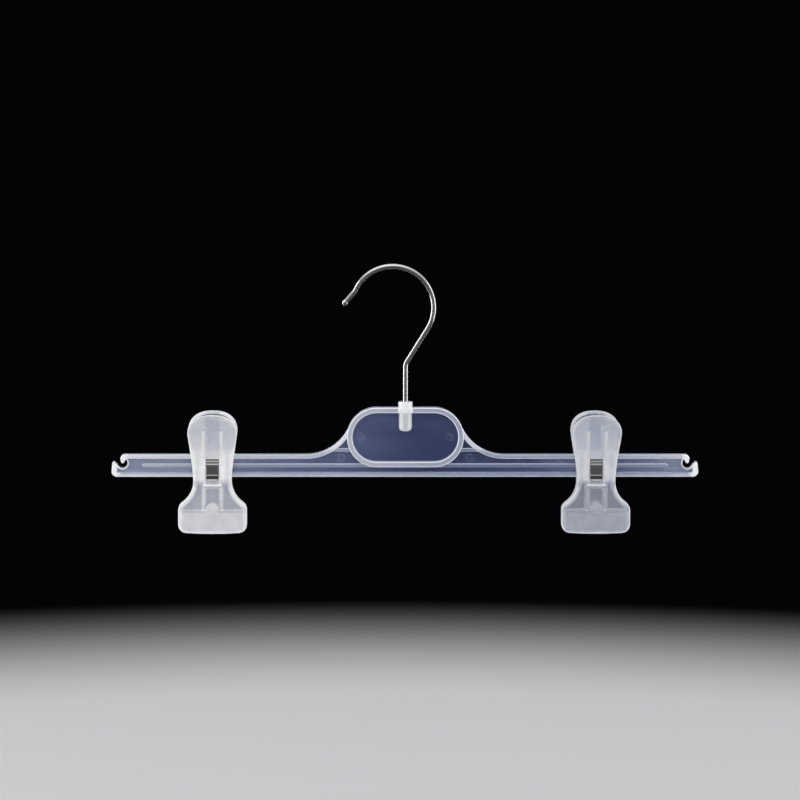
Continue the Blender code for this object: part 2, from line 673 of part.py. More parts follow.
def flare_hollow():
    """Front view of the left pocket between the rim, a rib and the plate."""
    side = flare(FLARE_HOLLOW_RADIUS + FLARE_RIM, FLARE_ROUND_RADIUS - FLARE_RIM / 2,
                 WAIST_HALF_WIDTH - FLARE_RIM, PLATE_HALF_WIDTH - FLARE_RIM)
    kept = [point for point in side if -PLATE_TOP_DROP < point[1] < -CHEEK_DROP]
    points = [(-RIB_OUTER, -PLATE_TOP_DROP), (kept[0][0], -PLATE_TOP_DROP)] + kept
    return points + [(kept[-1][0], -CHEEK_DROP), (-RIB_OUTER, -CHEEK_DROP)]


def strip_hollow():
    """Front view of the shallow channel between the ribs below the ledge."""
    top = RECESS_BOTTOM_DROP + LEDGE_HEIGHT + STRIP_TOP_GAP
    return rectangle(-CHANNEL_HALF_WIDTH, -PLATE_TOP_DROP, CHANNEL_HALF_WIDTH, -top)


def outer_depth(height):
    """Depth of the outer face at a height below the knee."""
    points = outer_profile()
    for (depth_a, low), (depth_b, high) in zip(points, points[1:]):
        if low <= height <= high and high > low:
            return depth_a + (depth_b - depth_a) * (height - low) / (high - low)
    return points[-1][0]


def make_jaw(name, look):
    """One jaw as a shell: rim, ribs, spring window, ledge and gripping plate."""
    across = PLATE_HALF_WIDTH + OVERSHOOT
    deepest = KNEE_DEPTH + HANDLE_RISE
    body = prism(name, [jaw_outline()], 'Y', -deepest, PIVOT_DEPTH)
    combine(body, side_body("sides", outer_profile() + inner_profile(), across), 'INTERSECT')
    hollow = prism("hollow", [handle_hollow()], 'Y', -deepest, PIVOT_DEPTH + OVERSHOOT / 2)
    combine(hollow, side_body("skin", skin_profile(JAW_SKIN), across), 'INTERSECT')
    combine(body, hollow, 'DIFFERENCE')
    left = flare_hollow()
    pockets = prism("pockets", [left, mirrored(left), strip_hollow()], 'Y', -deepest,
                    PIVOT_DEPTH + OVERSHOOT / 2)
    combine(pockets, side_body("skin", skin_profile(JAW_SKIN), across), 'INTERSECT')
    combine(body, pockets, 'DIFFERENCE')
    window = rectangle(-CHANNEL_HALF_WIDTH, -WINDOW_BOTTOM_DROP, CHANNEL_HALF_WIDTH, -WINDOW_TOP_DROP)
    combine(body, prism("window", [window], 'Y', -deepest, PIVOT_DEPTH), 'DIFFERENCE')
    recess = rectangle(-CHANNEL_HALF_WIDTH, -RECESS_BOTTOM_DROP, CHANNEL_HALF_WIDTH,
                       -WINDOW_BOTTOM_DROP + OVERSHOOT)
    combine(body, prism("recess", [recess], 'Y', -deepest, -RECESS_FLOOR), 'DIFFERENCE')
    ledge_z = -RECESS_BOTTOM_DROP - LEDGE_HEIGHT
    ledge = rectangle(-LEDGE_HALF_WIDTH, ledge_z, LEDGE_HALF_WIDTH, -RECESS_BOTTOM_DROP)
    ledge_face = PIVOT_DEPTH - outer_depth(ledge_z)
    combine(body, prism("ledge", [ledge], 'Y', ledge_face - LEDGE_PROUD, ledge_face + JAW_SKIN / 2), 'UNION')
    bump_z = BUMP_SETBACK - PLATE_TOP_DROP
    bump_face = PIVOT_DEPTH - outer_depth(bump_z)
    bump = disc("bump", 0.0, bump_z, BUMP_RADIUS, bump_face - BUMP_PROUD, bump_face + JAW_SKIN / 2, 20)
    combine(body, bump, 'UNION')
    tidy(body)
    return dress(body, name, look)


# Pads, in the jaw's own axes

def pad_profile():
    """Side view of a pad with shallow ridges across its gripping face, as (depth, height)."""
    low = -JAW_DROP + PAD_INSET
    high = -PLATE_TOP_DROP - PAD_TOP_INSET
    back = PAD_FACE + PAD_THICKNESS
    points = [(back, high), (back, low)]
    pitch = (high - low) / PAD_RIDGES
    for ridge in range(PAD_RIDGES):
        start = low + ridge * pitch
        points.append((PAD_FACE + PAD_RIDGE_HEIGHT, start))
        points.append((PAD_FACE, start + pitch * PAD_RIDGE_FLANK))
        points.append((PAD_FACE, start + pitch * (1 - PAD_RIDGE_FLANK)))
    points.append((PAD_FACE + PAD_RIDGE_HEIGHT, high))
    return points


def make_pad(name, look):
    """Soft pad on a jaw's inner face."""
    half = PLATE_HALF_WIDTH - PAD_INSET
    radius = PLATE_CORNER - PAD_INSET
    low = -JAW_DROP + PAD_INSET
    high = -PLATE_TOP_DROP - PAD_TOP_INSET
    outline = arc(half - radius, low + radius, radius, -90, 0, 5)
    outline += arc(half - radius / 2, high - radius / 2, radius / 2, 0, 90, 4)
    outline += mirrored(outline)
    body = prism(name, [outline], 'Y', 0.0, PIVOT_DEPTH)
    combine(body, side_body("ridges", pad_profile(), PLATE_HALF_WIDTH), 'INTERSECT')
    tidy(body)
    return dress(body, name, look)


# Spring, whose own origin is on the clip's middle plane at the pivots' height

def leg_route():
    """Centre line of one leg as (depth, height), from the crown's middle to the lip's end."""
    crown = BEAM_TOP - PIVOT_RISE + SEAT_GAP + SPRING_THICKNESS / 2
    bend = arc(LEG_DEPTH - CROWN_BEND, crown - CROWN_BEND, CROWN_BEND, 90, 0, 4)
    recess_face = PIVOT_DEPTH + RECESS_FLOOR
    lip_depth = recess_face + SEAT_GAP + SPRING_THICKNESS / 2
    flat_depth = outer_depth(-LEG_FLAT_DROP) - SPRING_THICKNESS / 2
    exit_bend = bezier((LEG_DEPTH, -LEG_EXIT_DROP + EXIT_BEND_HANDLE), (LEG_DEPTH, -LEG_EXIT_DROP),
                       (flat_depth, -LEG_FLAT_DROP + EXIT_BEND_HANDLE),
                       (flat_depth, -LEG_FLAT_DROP), 7)
    curl = arc(lip_depth + LIP_RADIUS, -LIP_DROP, LIP_RADIUS, 180, 180 + LIP_TURN, 7)
    return bend + exit_bend + curl


def thicken(route, thickness):
    """Closed outline of a strip whose centre line is the route."""
    half = thickness / 2
    one_side = []
    other_side = []
    for index, (across, height) in enumerate(route):
        before = route[max(index - 1, 0)]
        after = route[min(index + 1, len(route) - 1)]
        arriving = math.atan2(height - before[1], across - before[0])
        leaving = math.atan2(after[1] - height, after[0] - across)
        if index == 0:
            arriving = leaving
        if index == len(route) - 1:
            leaving = arriving
        turn = math.remainder(leaving - arriving, math.tau)
        heading = arriving + turn / 2
        reach = half / math.cos(turn / 2)
        step_across = -math.sin(heading) * reach
        step_height = math.cos(heading) * reach
        one_side.append((across + step_across, height + step_height))
        other_side.append((across - step_across, height - step_height))
    return one_side + other_side[::-1]


def make_spring(name, look):
    """Bent strip over the beam with a leg and a curled lip on each side."""
    leg = leg_route()
    outline = thicken(mirrored(leg) + leg, SPRING_THICKNESS)
    body = prism(name, [outline], 'X', -SPRING_WIDTH / 2, SPRING_WIDTH / 2)
    tidy(body)
    return dress(body, name, look)


def make_clip(side_name, station, beam, frosted, soft, steel):
    """Spring, two jaws and two pads at one station along the beam."""
    spring = make_spring(side_name + "_spring", steel)
    place(spring, beam, (station, 0.0, PIVOT_RISE))
    for face, turn in (("front", 0.0), ("rear", 180.0)):
        jaw = make_jaw(f"{side_name}_{face}_jaw", frosted)
        depth = -PIVOT_DEPTH if face == "front" else PIVOT_DEPTH
        place(jaw, spring, (0.0, depth, 0.0), turn)
        pad = make_pad(f"{side_name}_{face}_pad", soft)
        place(pad, jaw, (0.0, 0.0, 0.0))


def main():
    clear_scene()
    clear_plastic = material("clear_plastic", (0.62, 0.66, 0.78), 0.12, transmission=0.6)
    frosted = material("frosted_plastic", (0.82, 0.85, 0.90), 0.35, transmission=0.3)
    soft = material("soft_clear", (0.78, 0.79, 0.80), 0.45, transmission=0.3)
    bright_wire = material("bright_wire", (0.75, 0.75, 0.77), 0.18, metallic=1.0)
    spring_steel = material("spring_steel", (0.50, 0.49, 0.52), 0.30, metallic=1.0)
    make_hook(bright_wire)
    beam = make_beam(clear_plastic)
    place(beam, None, (0.0, 0.0, BEAM_Z))
    make_clip("left", -LEFT_CLIP_STATION, beam, frosted, soft, spring_steel)
    make_clip("right", RIGHT_CLIP_STATION, beam, frosted, soft, spring_steel)


main()
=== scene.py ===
# %% [markdown]
# # A clear clip hanger, dressed for its picture
# The imported CAD model gives every piece its place and its size. This lesson makes the looks round
# it: softer edges on the mouldings, a smooth drawn wire, two-legged springs, and the materials.
# Everything is in metres, with the beam along X, the front towards -Y and Z up.

# %% Load the frame
from math import acos, asin, atan2, cos, degrees, dist, pi, radians, sin, sqrt, tan, tau

import bmesh
import bpy
import numpy as np
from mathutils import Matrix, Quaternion, Vector
from mathutils.bvhtree import BVHTree


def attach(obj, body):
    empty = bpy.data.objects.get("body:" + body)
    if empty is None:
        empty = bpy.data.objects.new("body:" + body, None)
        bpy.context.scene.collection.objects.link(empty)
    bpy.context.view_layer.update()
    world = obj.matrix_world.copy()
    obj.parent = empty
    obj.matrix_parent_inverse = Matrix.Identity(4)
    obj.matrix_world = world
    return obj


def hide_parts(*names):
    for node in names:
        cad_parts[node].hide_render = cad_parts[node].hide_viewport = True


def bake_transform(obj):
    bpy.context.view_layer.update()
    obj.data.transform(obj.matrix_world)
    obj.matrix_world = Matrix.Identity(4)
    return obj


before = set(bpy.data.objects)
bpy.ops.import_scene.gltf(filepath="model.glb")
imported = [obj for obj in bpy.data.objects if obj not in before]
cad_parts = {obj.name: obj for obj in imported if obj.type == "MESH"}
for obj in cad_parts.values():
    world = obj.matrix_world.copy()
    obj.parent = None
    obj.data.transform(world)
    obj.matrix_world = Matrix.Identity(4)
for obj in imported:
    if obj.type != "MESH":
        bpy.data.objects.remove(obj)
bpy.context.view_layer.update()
print("nodes:", ", ".join(sorted(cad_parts)))

# %% [markdown]
# ## The sizes that more than one piece needs
# The CAD source isn't here when this script runs, so the driving sizes are written again. Each
# level follows from them in the same way as it does in the source.

# %% Sizes
SEAT_GAP = 0.0003
WIRE_RADIUS = 0.0017
HOOK_ARC_RADIUS = 0.0244
HOOK_ARC_OFFSET = 0.0077
HOOK_LEAN = radians(32.0)
SHANK_EXPOSED = 0.0224
BEAM_LENGTH = 0.350
BEAM_HEIGHT = 0.0134
FLANGE_THICKNESS = 0.0026
FLANGE_DEPTH = 0.0065
WEB_THICKNESS = 0.0016
RING_HALF_STRAIGHT = 0.0170
RING_INNER_RADIUS = 0.01455
RING_WALL = 0.0033
RING_SINK = 0.0009
BOSS_RISE = 0.0034
BOSS_DROP = 0.0110
CLIP_STATIONS = {"left": -0.1149, "right": 0.1139}
FACES = {"front": -1.0, "rear": 1.0}

ARC_CENTRE_Z = -sqrt((HOOK_ARC_RADIUS - WIRE_RADIUS) ** 2 - HOOK_ARC_OFFSET ** 2)
SLOPE_TOP_X = HOOK_ARC_RADIUS * cos(HOOK_LEAN) - HOOK_ARC_OFFSET
SLOPE_TOP_Z = ARC_CENTRE_Z - HOOK_ARC_RADIUS * sin(HOOK_LEAN)
BEND_Z = SLOPE_TOP_Z - SLOPE_TOP_X / tan(HOOK_LEAN)
BOSS_TOP_Z = BEND_Z - SHANK_EXPOSED
RING_OUTER_RADIUS = RING_INNER_RADIUS + RING_WALL
RING_Z = BOSS_TOP_Z - BOSS_RISE - RING_OUTER_RADIUS
BOSS_BOTTOM_Z = RING_Z + RING_INNER_RADIUS - BOSS_DROP
BEAM_Z = RING_Z - RING_OUTER_RADIUS + RING_SINK
BEAM_TOP = BEAM_HEIGHT / 2
BEAM_END = BEAM_LENGTH / 2
FACE = FLANGE_DEPTH / 2
PIVOT_Z = BEAM_Z + BEAM_TOP - FLANGE_THICKNESS / 2
PIVOT_DEPTH = FACE + SEAT_GAP
print("beam at z", round(BEAM_Z * 1000, 2), "mm, clips rock at z", round(PIVOT_Z * 1000, 2), "mm")


# %% Object helpers
def placed(name, data):
    """A new object with this data, linked to the scene."""
    made = bpy.data.objects.new(name, data)
    bpy.context.scene.collection.objects.link(made)
    return made


def placed_mesh(name, bm):
    """A new object with the mesh that bm holds, and bm is freed."""
    mesh = bpy.data.meshes.new(name)
    bm.to_mesh(mesh)
    bm.free()
    return placed(name, mesh)


# %% [markdown]
# ## Camera
# The photograph looks almost straight on, from a little above and a touch to the left. At 2.6 m
# the view is nearly flat, as in the picture, and each pixel of the 800 covers 0.596 mm.

# %% Camera
CAMERA_AZIMUTH = radians(-1.2)
CAMERA_ELEVATION = radians(5.5)
CAMERA_ROLL = radians(0.13)
CAMERA_DISTANCE = 2.6
PIXEL_SIZE = 0.000596
PICTURE_PIXELS = 800
LOOK_AT = Vector((-0.0032, 0.0, -0.0766))

flat = cos(CAMERA_ELEVATION)
towards_camera = Vector((sin(CAMERA_AZIMUTH) * flat, -cos(CAMERA_AZIMUTH) * flat,
                         sin(CAMERA_ELEVATION)))
lens = bpy.data.cameras.new("camera")
lens.lens = lens.sensor_width * CAMERA_DISTANCE / (PICTURE_PIXELS * PIXEL_SIZE)
camera = placed("camera", lens)
camera.location = LOOK_AT + towards_camera * CAMERA_DISTANCE
level = (-towards_camera).to_track_quat("-Z", "Y")
camera.rotation_euler = (level @ Quaternion((0.0, 0.0, 1.0), CAMERA_ROLL)).to_euler()
bpy.context.scene.camera = camera
bpy.context.scene.view_settings.view_transform = "Standard"
print("lens", round(lens.lens, 1), "mm")


# %% [markdown]
# ## Node helpers
# A material is a small graph, and so is a shape tree. The first helper adds and links a node in
# one line, and the others name the few sums that keep coming back. A socket knows its own tree.

# %% Node helpers
def add_node(tree, kind, inputs=None, **settings):
    """Add a node with its settings, and set or link its inputs by name or number."""
    node = tree.nodes.new(kind)
    for key, value in settings.items():
        setattr(node, key, value)
    for key, value in (inputs or {}).items():
        if isinstance(value, bpy.types.NodeSocket):
            tree.links.new(value, node.inputs[key])
        else:
            node.inputs[key].default_value = value
    return node


def work_out(operation, a, b=0.0):
    """A socket with the result of one sum, in which a or b is a socket."""
    tree = (a if isinstance(a, bpy.types.NodeSocket) else b).id_data
    return add_node(tree, "ShaderNodeMath", {0: a, 1: b}, operation=operation).outputs[0]


def add(a, b):
    """A socket with a plus b."""
    return work_out("ADD", a, b)


def take(a, b):
    """A socket with a minus b."""
    return work_out("SUBTRACT", a, b)


def larger(a, b):
    """A socket with the larger of a and b."""
    return work_out("MAXIMUM", a, b)


def product(result, *others):
    """A socket with all the values multiplied."""
    for other in others:
        result = work_out("MULTIPLY", result, other)
    return result


def distance(across, up):
    """A socket with the length of a slant from its two legs."""
    return work_out("SQRT", add(product(across, across), product(up, up)))


def fade(value, low, high, out_low=0.0, out_high=1.0):
    """A socket that goes smoothly from out_low at low to out_high at high."""
    return add_node(value.id_data, "ShaderNodeMapRange", {
        "Value": value, "From Min": low, "From Max": high, "To Min": out_low, "To Max": out_high},
        interpolation_type="SMOOTHSTEP").outputs[0]


def between(share, a, b, kind="FLOAT"):
    """A socket that is a where share is 0 and b where it is 1, with numbers or colours."""
    first, result = (2, 0) if kind == "FLOAT" else (6, 2)
    inputs = {0: share, first: a, first + 1: b}
    return add_node(share.id_data, "ShaderNodeMix", inputs, data_type=kind).outputs[result]


def between_shaders(share, a, b):
    """The same for two shader nodes."""
    inputs = {0: share, 1: a.outputs[0], 2: b.outputs[0]}
    return add_node(share.id_data, "ShaderNodeMixShader", inputs)


def axes(tree, kind):
    """The X, Y and Z sockets of a texture coordinate, such as Object or Normal."""
    where = add_node(tree, "ShaderNodeTexCoord")
    return add_node(tree, "ShaderNodeSeparateXYZ", {0: where.outputs[kind]}).outputs


def noise(tree, scale, stretch=(1.0, 1.0, 1.0), detail=2.0, roughness=0.5):
    """A socket with noise in the object's own coordinates."""
    where = add_node(tree, "ShaderNodeTexCoord").outputs["Object"]
    place = add_node(tree, "ShaderNodeMapping", {"Vector": where, "Scale": stretch})
    return add_node(tree, "ShaderNodeTexNoise", {
        "Vector": place.outputs[0], "Scale": scale, "Detail": detail,
        "Roughness": roughness}).outputs["Fac"]


def new_material(name):
    """An empty node material and its tree."""
    made = bpy.data.materials.new(name)
    made.use_nodes = True
    made.node_tree.nodes.clear()
    return made, made.node_tree


def show(shader, kind="Material"):
    """Make a shader node the surface of its material or of the world."""
    add_node(shader.id_data, "ShaderNodeOutput" + kind, {"Surface": shader.outputs[0]})


# %% [markdown]
# ## Stage
# Clear plastic shows what is behind it. The photograph has it on black, so the wall behind is
# dark and plain, and the floor below is pale and fades into it. The wall is the world's colour
# for rays that look at it, straight or through the plastic. For the light that falls on matt
# surfaces the world is a soft dome, brighter above and in front. For reflections it is a dim
# room with a bright ceiling, which draws the long light line along the wire and the springs.

# %% World
WALL_COLOUR = (0.0012, 0.0012, 0.0016, 1.0)
WHITE = (1.0, 1.0, 1.0, 1.0)
DOME_FRONT = (0.98, 0.99, 1.0, 1.0)
DOME_BACK = (0.22, 0.23, 0.27, 1.0)
DOME_REACH = 1.2
DOME_STRENGTH = 0.88
ROOM_LIGHTS = (0.05, 0.17)  # low down, and at eye level
ROOM_FRONT_SHARE = 0.55
CEILING_LIGHT = 0.42


def light(tree, colour, strength):
    """Light from all round."""
    return add_node(tree, "ShaderNodeBackground", {"Color": colour, "Strength": strength})


world = bpy.data.worlds.new("studio")
world.use_nodes = True
tree = world.node_tree
tree.nodes.clear()
_, back, height = axes(tree, "Generated")
share = fade(take(height, back), -DOME_REACH, DOME_REACH)
dome = between(share, DOME_BACK, DOME_FRONT, "RGBA")
upward = fade(height, -0.45, -0.05, *ROOM_LIGHTS)
behind = fade(back, -0.15, 0.70, 1.0, 0.0)
in_front = fade(back, -0.98, -0.80, ROOM_FRONT_SHARE, 1.0)
room = product(upward, behind, in_front)
ceiling = fade(height, 0.34, 0.72, 0.0, CEILING_LIGHT)

path = add_node(tree, "ShaderNodeLightPath").outputs
direct = work_out("LESS_THAN", path["Diffuse Depth"], 0.5)
seen = larger(path["Is Camera Ray"], product(path["Is Transmission Ray"], direct))
mirrored = product(path["Is Glossy Ray"], direct)
unseen = between_shaders(mirrored, light(tree, dome, DOME_STRENGTH),
                         light(tree, WHITE, add(room, ceiling)))
show(between_shaders(seen, unseen, light(tree, WALL_COLOUR, 1.0)), "World")
bpy.context.scene.world = world
print("world:", len(tree.nodes), "nodes")

# %% Floor
FLOOR_Z = -0.36
FLOOR_RADIUS = 1.6
FLOOR_SIDES = 96
FLOOR_FADE = (0.62, 1.15)
FLOOR_COLOUR = (0.62, 0.62, 0.63, 1.0)
FLOOR_ROUGHNESS = 0.9

floor_material, tree = new_material("pale_floor")
x, y, _ = axes(tree, "Object")
far = fade(distance(x, y), *FLOOR_FADE)
paint = add_node(tree, "ShaderNodeBsdfPrincipled", {
    "Base Color": FLOOR_COLOUR, "Roughness": FLOOR_ROUGHNESS})
show(between_shaders(far, paint, add_node(tree, "ShaderNodeBsdfTransparent")))

bm = bmesh.new()
bmesh.ops.create_circle(bm, cap_ends=True, segments=FLOOR_SIDES, radius=FLOOR_RADIUS)
bmesh.ops.translate(bm, verts=bm.verts, vec=(0.0, 0.0, FLOOR_Z))
floor = placed_mesh("floor", bm)
floor.data.materials.append(floor_material)
floor.visible_glossy = False

# %% Lamps
LAMPS = {  # place, width and height, watts, colour
    "top_softbox": ((-0.25, -0.20, 1.05), (1.6, 1.1), 2.6, (1.0, 1.0, 1.0)),
    "left_softbox": ((-1.25, -0.25, 0.10), (0.45, 1.4), 6.5, (0.98, 0.99, 1.0)),
    "right_softbox": ((1.25, -0.25, 0.10), (0.45, 1.4), 4.5, (0.98, 0.99, 1.0)),
}

for name, (place, size, watts, colour) in LAMPS.items():
    softbox = bpy.data.lights.new(name, "AREA")
    softbox.shape = "RECTANGLE"
    softbox.size, softbox.size_y = size
    softbox.energy = watts
    softbox.color = colour
    lamp = placed(name, softbox)
    lamp.location = place
    lamp.rotation_euler = (LOOK_AT - Vector(place)).to_track_quat("-Z", "Y").to_euler()
print("lamps:", ", ".join(LAMPS))

# %% [markdown]
# ## Finishes
# A thin wall of this plastic is nearly clear with a blue cast, because it scatters blue light
# first, and a thick one is milky white. A true volume would need many samples, so the surface
# mixes a clear shader and a milky one, and a number says how much of each: on the beam it follows
# the depth of the moulding, and on the jaws a thickness that is measured ray by ray. On both the
# number also carries painted light: painted highlights on the edges, and on the jaws painted shade
# in the inner corners.

# %% Plastic
PLASTIC_IOR = 1.49
GRAIN_SCALE = 900.0
GRAIN_STRENGTH = 0.05
GRAIN_HEIGHT = 0.0002
NOISE_SPREAD = (0.3, 0.7)  # what most of a noise lies between


def colour_ramp(value, stops):
    """A ColorRamp with (place, colour) stops, driven by a socket."""
    ramp = add_node(value.id_data, "ShaderNodeValToRGB", {"Fac": value})
    elements = ramp.color_ramp.elements
    while len(elements) < len(stops):
        elements.new(0.5)
    for element, (place, colour) in zip(elements, stops):
        element.position = place
        element.color = (*colour, 1.0)
    return ramp.outputs["Color"]


def plastic(milk, colour, clear_colour, clear_roughness, milky_roughness):
    """Mix a clear shader and a milky one by the socket milk."""
    tree = milk.id_data
    relief = add_node(tree, "ShaderNodeBump", {
        "Height": noise(tree, GRAIN_SCALE), "Strength": GRAIN_STRENGTH, "Distance": GRAIN_HEIGHT})
    both = {"IOR": PLASTIC_IOR, "Normal": relief.outputs[0]}
    glass = add_node(tree, "ShaderNodeBsdfPrincipled", {
        "Base Color": clear_colour, "Roughness": clear_roughness, "Transmission Weight": 1.0,
        **both})
    body = add_node(tree, "ShaderNodeBsdfPrincipled", {
        "Base Color": colour, "Roughness": milky_roughness, **both})
    show(between_shaders(milk, glass, body))


# %% Beam plastic
BEAM_SHADES = ((0.10, (0.25, 0.34, 0.82)), (0.33, (0.62, 0.69, 0.94)),
               (0.55, (0.86, 0.88, 0.99)), (1.0, (0.97, 0.97, 0.98)))
WEB_MILK = ((-0.165, 0.40), (-0.149, 0.38), (-0.077, 0.24), (-0.026, 0.15), (0.010, 0.105),
            (0.030, 0.115), (0.076, 0.145), (0.090, 0.20), (0.140, 0.25), (0.170, 0.33))
FLANGE_MILK = ((-0.162, 0.74), (-0.149, 0.68), (-0.077, 0.52), (-0.026, 0.50), (0.018, 0.41),
               (0.084, 0.39), (0.155, 0.50), (0.163, 0.58))
FLOW = (60.0, (0.25, 1.0, 1.6), 3.0, 0.55)  # scale, stretch, detail, roughness
FLOW_SHARE = (0.85, 1.15)
RIB_MILK = 0.70  # of a flange's
LOWEST_TONE = 1.04
LOWER_TONES = ((-0.0058, -0.0052, 0.80), (-0.0049, -0.0045, 0.50), (-0.0036, -0.0034, 1.0))
SHOULDER_GLOW = 0.40
END_MILK = 0.97
END_SLANT = (-0.002, 0.002, -0.0042, 0.0006)  # heights, and the end's shift at each
BOSS_MILK = 0.66
BOSS_COLOUR = (0.79, 0.81, 0.78, 1.0)
COLLAR_MILK = 0.93
# Painted highlight: the beam's rounded edges are painted whiter, for the light they catch. An
# upright edge takes a share, a rib's edge more where it faces up, a flange's wall less where it
# faces up and more where it faces down, and the ring's edges most.
PAINTED_EDGE_HIGHLIGHT = 0.95
RIB_EDGE_HIGHLIGHT = (0.28, 0.34)  # of an upright edge, and more where it faces up
FLANGE_EDGE_HIGHLIGHT = (0.30, -0.34)
RING_EDGE_HIGHLIGHT = 0.90
MARK_RADIUS = 0.0020
MARK_MILK = 0.12
MARKS = ((0.0264, RING_Z), (0.0383, BEAM_Z + 0.0046))


def along_beam(across, stops):
    """A socket that follows (x in metres, milk) stops along the beam."""
    place = add(product(across, 1 / BEAM_LENGTH), 0.5)
    return colour_ramp(place, [(x / BEAM_LENGTH + 0.5, (milk,) * 3) for x, milk in stops])


def tilted(up, upright, slope):
    """A socket that changes from its upright value with how far a wall faces up."""
    return add(product(up, slope), upright)


beam_plastic, tree = new_material("clear_moulding")
x, y, z = axes(tree, "Object")
_, facing_y, facing_z = axes(tree, "Normal")
along, depth, outward = (work_out("ABSOLUTE", socket) for socket in (x, y, facing_y))
height = take(z, BEAM_Z)
flow = fade(noise(tree, *FLOW), *NOISE_SPREAD, *FLOW_SHARE)
web = product(along_beam(x, WEB_MILK), flow)
for mark_x, mark_z in MARKS:
    reach = distance(take(along, mark_x), take(z, mark_z))
    off_line = work_out("ABSOLUTE", take(reach, MARK_RADIUS))
    web = add(web, fade(off_line, 0.0001, 0.0005, MARK_MILK, 0.0))

in_flange = fade(depth, 0.0024, 0.0030)
in_ring = fade(depth, 0.0031, 0.0035)
tone = LOWEST_TONE
for start, end, upper_tone in LOWER_TONES:
    tone = between(fade(height, start, end), tone, upper_tone)
flange = product(along_beam(x, FLANGE_MILK), tone, between(in_flange, RIB_MILK, 1.0))
on_shoulder = fade(take(height, BEAM_TOP), 0.0005, 0.0050)
glow = product(on_shoulder, in_flange, take(1.0, in_ring), SHOULDER_GLOW)
at_end = fade(add(along, fade(height, *END_SLANT)), 0.162, 0.168, 0.0, END_MILK)
flange = larger(add(flange, glow), at_end)
in_boss = product(fade(along, 0.0043, 0.0047, 1.0, 0.0),
                  fade(take(z, BOSS_BOTTOM_Z), -0.0002, 0.0002))
in_collar = fade(take(z, BOSS_TOP_Z), -0.0072, -0.0062)
boss = product(in_boss, between(in_collar, BOSS_MILK, COLLAR_MILK))

thick = fade(depth, 0.0010, 0.0026)
milk = between(thick, web, larger(flange, boss))
# Painted highlight: thick rounded edges are painted whiter, by how far their normal turns from the
# face.
side = between(in_flange, tilted(facing_z, *RIB_EDGE_HIGHLIGHT), tilted(facing_z, *FLANGE_EDGE_HIGHLIGHT))
side = larger(between(in_ring, side, RING_EDGE_HIGHLIGHT), 0.0)
edge = product(fade(outward, 0.90, 0.995, 1.0, 0.0), thick, side)
milk = between(edge, milk, PAINTED_EDGE_HIGHLIGHT)
core = product(in_boss, take(1.0, in_collar), thick, fade(outward, 0.55, 0.90))
tint = between(core, colour_ramp(milk, BEAM_SHADES), BOSS_COLOUR, "RGBA")
plastic(milk, tint, (0.93, 0.95, 0.99, 1.0), 0.10, 0.28)
print("beam plastic: milk from", min(m for _, m in WEB_MILK), "to", END_MILK)

# %% Jaw and pad plastic
JAW_SHADES = ((0.30, (0.74, 0.78, 0.92)), (0.60, (0.88, 0.89, 0.94)), (1.0, (0.97, 0.97, 0.96)))
PAD_SHADES = ((0.0, (0.80, 0.81, 0.82)), (1.0, (0.86, 0.86, 0.85)))


def clouded(name, scale, share, shades, clear_colour, roughness, stored=None):
    """Plastic whose milk is in soft clouds, times what is stored on the points."""
    made, tree = new_material(name)
    milk = fade(noise(tree, scale), *NOISE_SPREAD, *share)
    if stored:
        on_points = add_node(tree, "ShaderNodeAttribute", attribute_name=stored)
        milk = product(on_points.outputs["Fac"], milk)
    plastic(milk, colour_ramp(milk, shades), clear_colour, *roughness)
    return made


jaw_plastic = clouded("milky_moulding", 160.0, (0.94, 1.06), JAW_SHADES, (0.94, 0.95, 0.97, 1.0),
                      (0.16, 0.32), "milk")
pad_plastic = clouded("soft_grip", 150.0, (0.55, 0.70), PAD_SHADES, (0.92, 0.92, 0.91, 1.0),
                      (0.25, 0.45))

# %% Metals
LINE_HEIGHT = 0.0001
ROUGHNESS_SPREAD = (0.8, 1.25)


def metal(name, colour, roughness, scale, stretch, strength):
    """Polished metal with fine drawing lines."""
    made, tree = new_material(name)
    lines = noise(tree, scale, stretch)
    relief = add_node(tree, "ShaderNodeBump", {
        "Height": lines, "Strength": strength, "Distance": LINE_HEIGHT})
    rough = fade(lines, *NOISE_SPREAD, *(roughness * s for s in ROUGHNESS_SPREAD))
    show(add_node(tree, "ShaderNodeBsdfPrincipled", {
        "Base Color": colour, "Metallic": 1.0, "Roughness": rough, "Normal": relief.outputs[0]}))
    return made


wire_metal = metal("bright_wire", (0.84, 0.84, 0.86, 1.0), 0.18, 700.0, (1.0, 1.0, 1.0), 0.0)
spring_metal = metal("spring_steel", (0.68, 0.67, 0.70, 1.0), 0.16, 500.0, (6.0, 1.0, 0.4), 0.12)
print("materials:", ", ".join(material.name for material in bpy.data.materials))

# %% [markdown]
# ## The hook
# The real hook is drawn wire, bent on pegs, with a ball upset at its tip and a head at its foot.
# A curve with a round profile is that same idea: Geometry Nodes turn the wire's centre line into
# a curve, give each point the wire's radius, or the ball's near the tip and the head's near the
# foot, and sweep a circle along it. One closed skin comes out, with no joint at the ball.

# %% Centre line of the wire
HOOK_BEND_RADIUS = 0.0065
HOOK_MOUTH_ANGLE = 157.0
HOOK_TIP_LENGTH = 0.0090
HOOK_TIP_KICK = 18.0
BALL_RADIUS = 0.00205
BALL_STEPS = 18
BALL_RUN = 1.3
HEAD_RADIUS = 0.0026
HEAD_HEIGHT = 0.0017
HEAD_BEVEL = 0.0003
BOSS_FLOOR = 0.0020
HEAD_BOTTOM_Z = BOSS_BOTTOM_Z + BOSS_FLOOR + SEAT_GAP


def arc(centre_x, centre_z, radius, start, end, steps):
    """Points (x, z) on an arc, both ends included, with angles in degrees from +X towards +Z."""
    angles = [radians(start + (end - start) * step / steps) for step in range(steps + 1)]
    return [(centre_x + radius * cos(a), centre_z + radius * sin(a)) for a in angles]


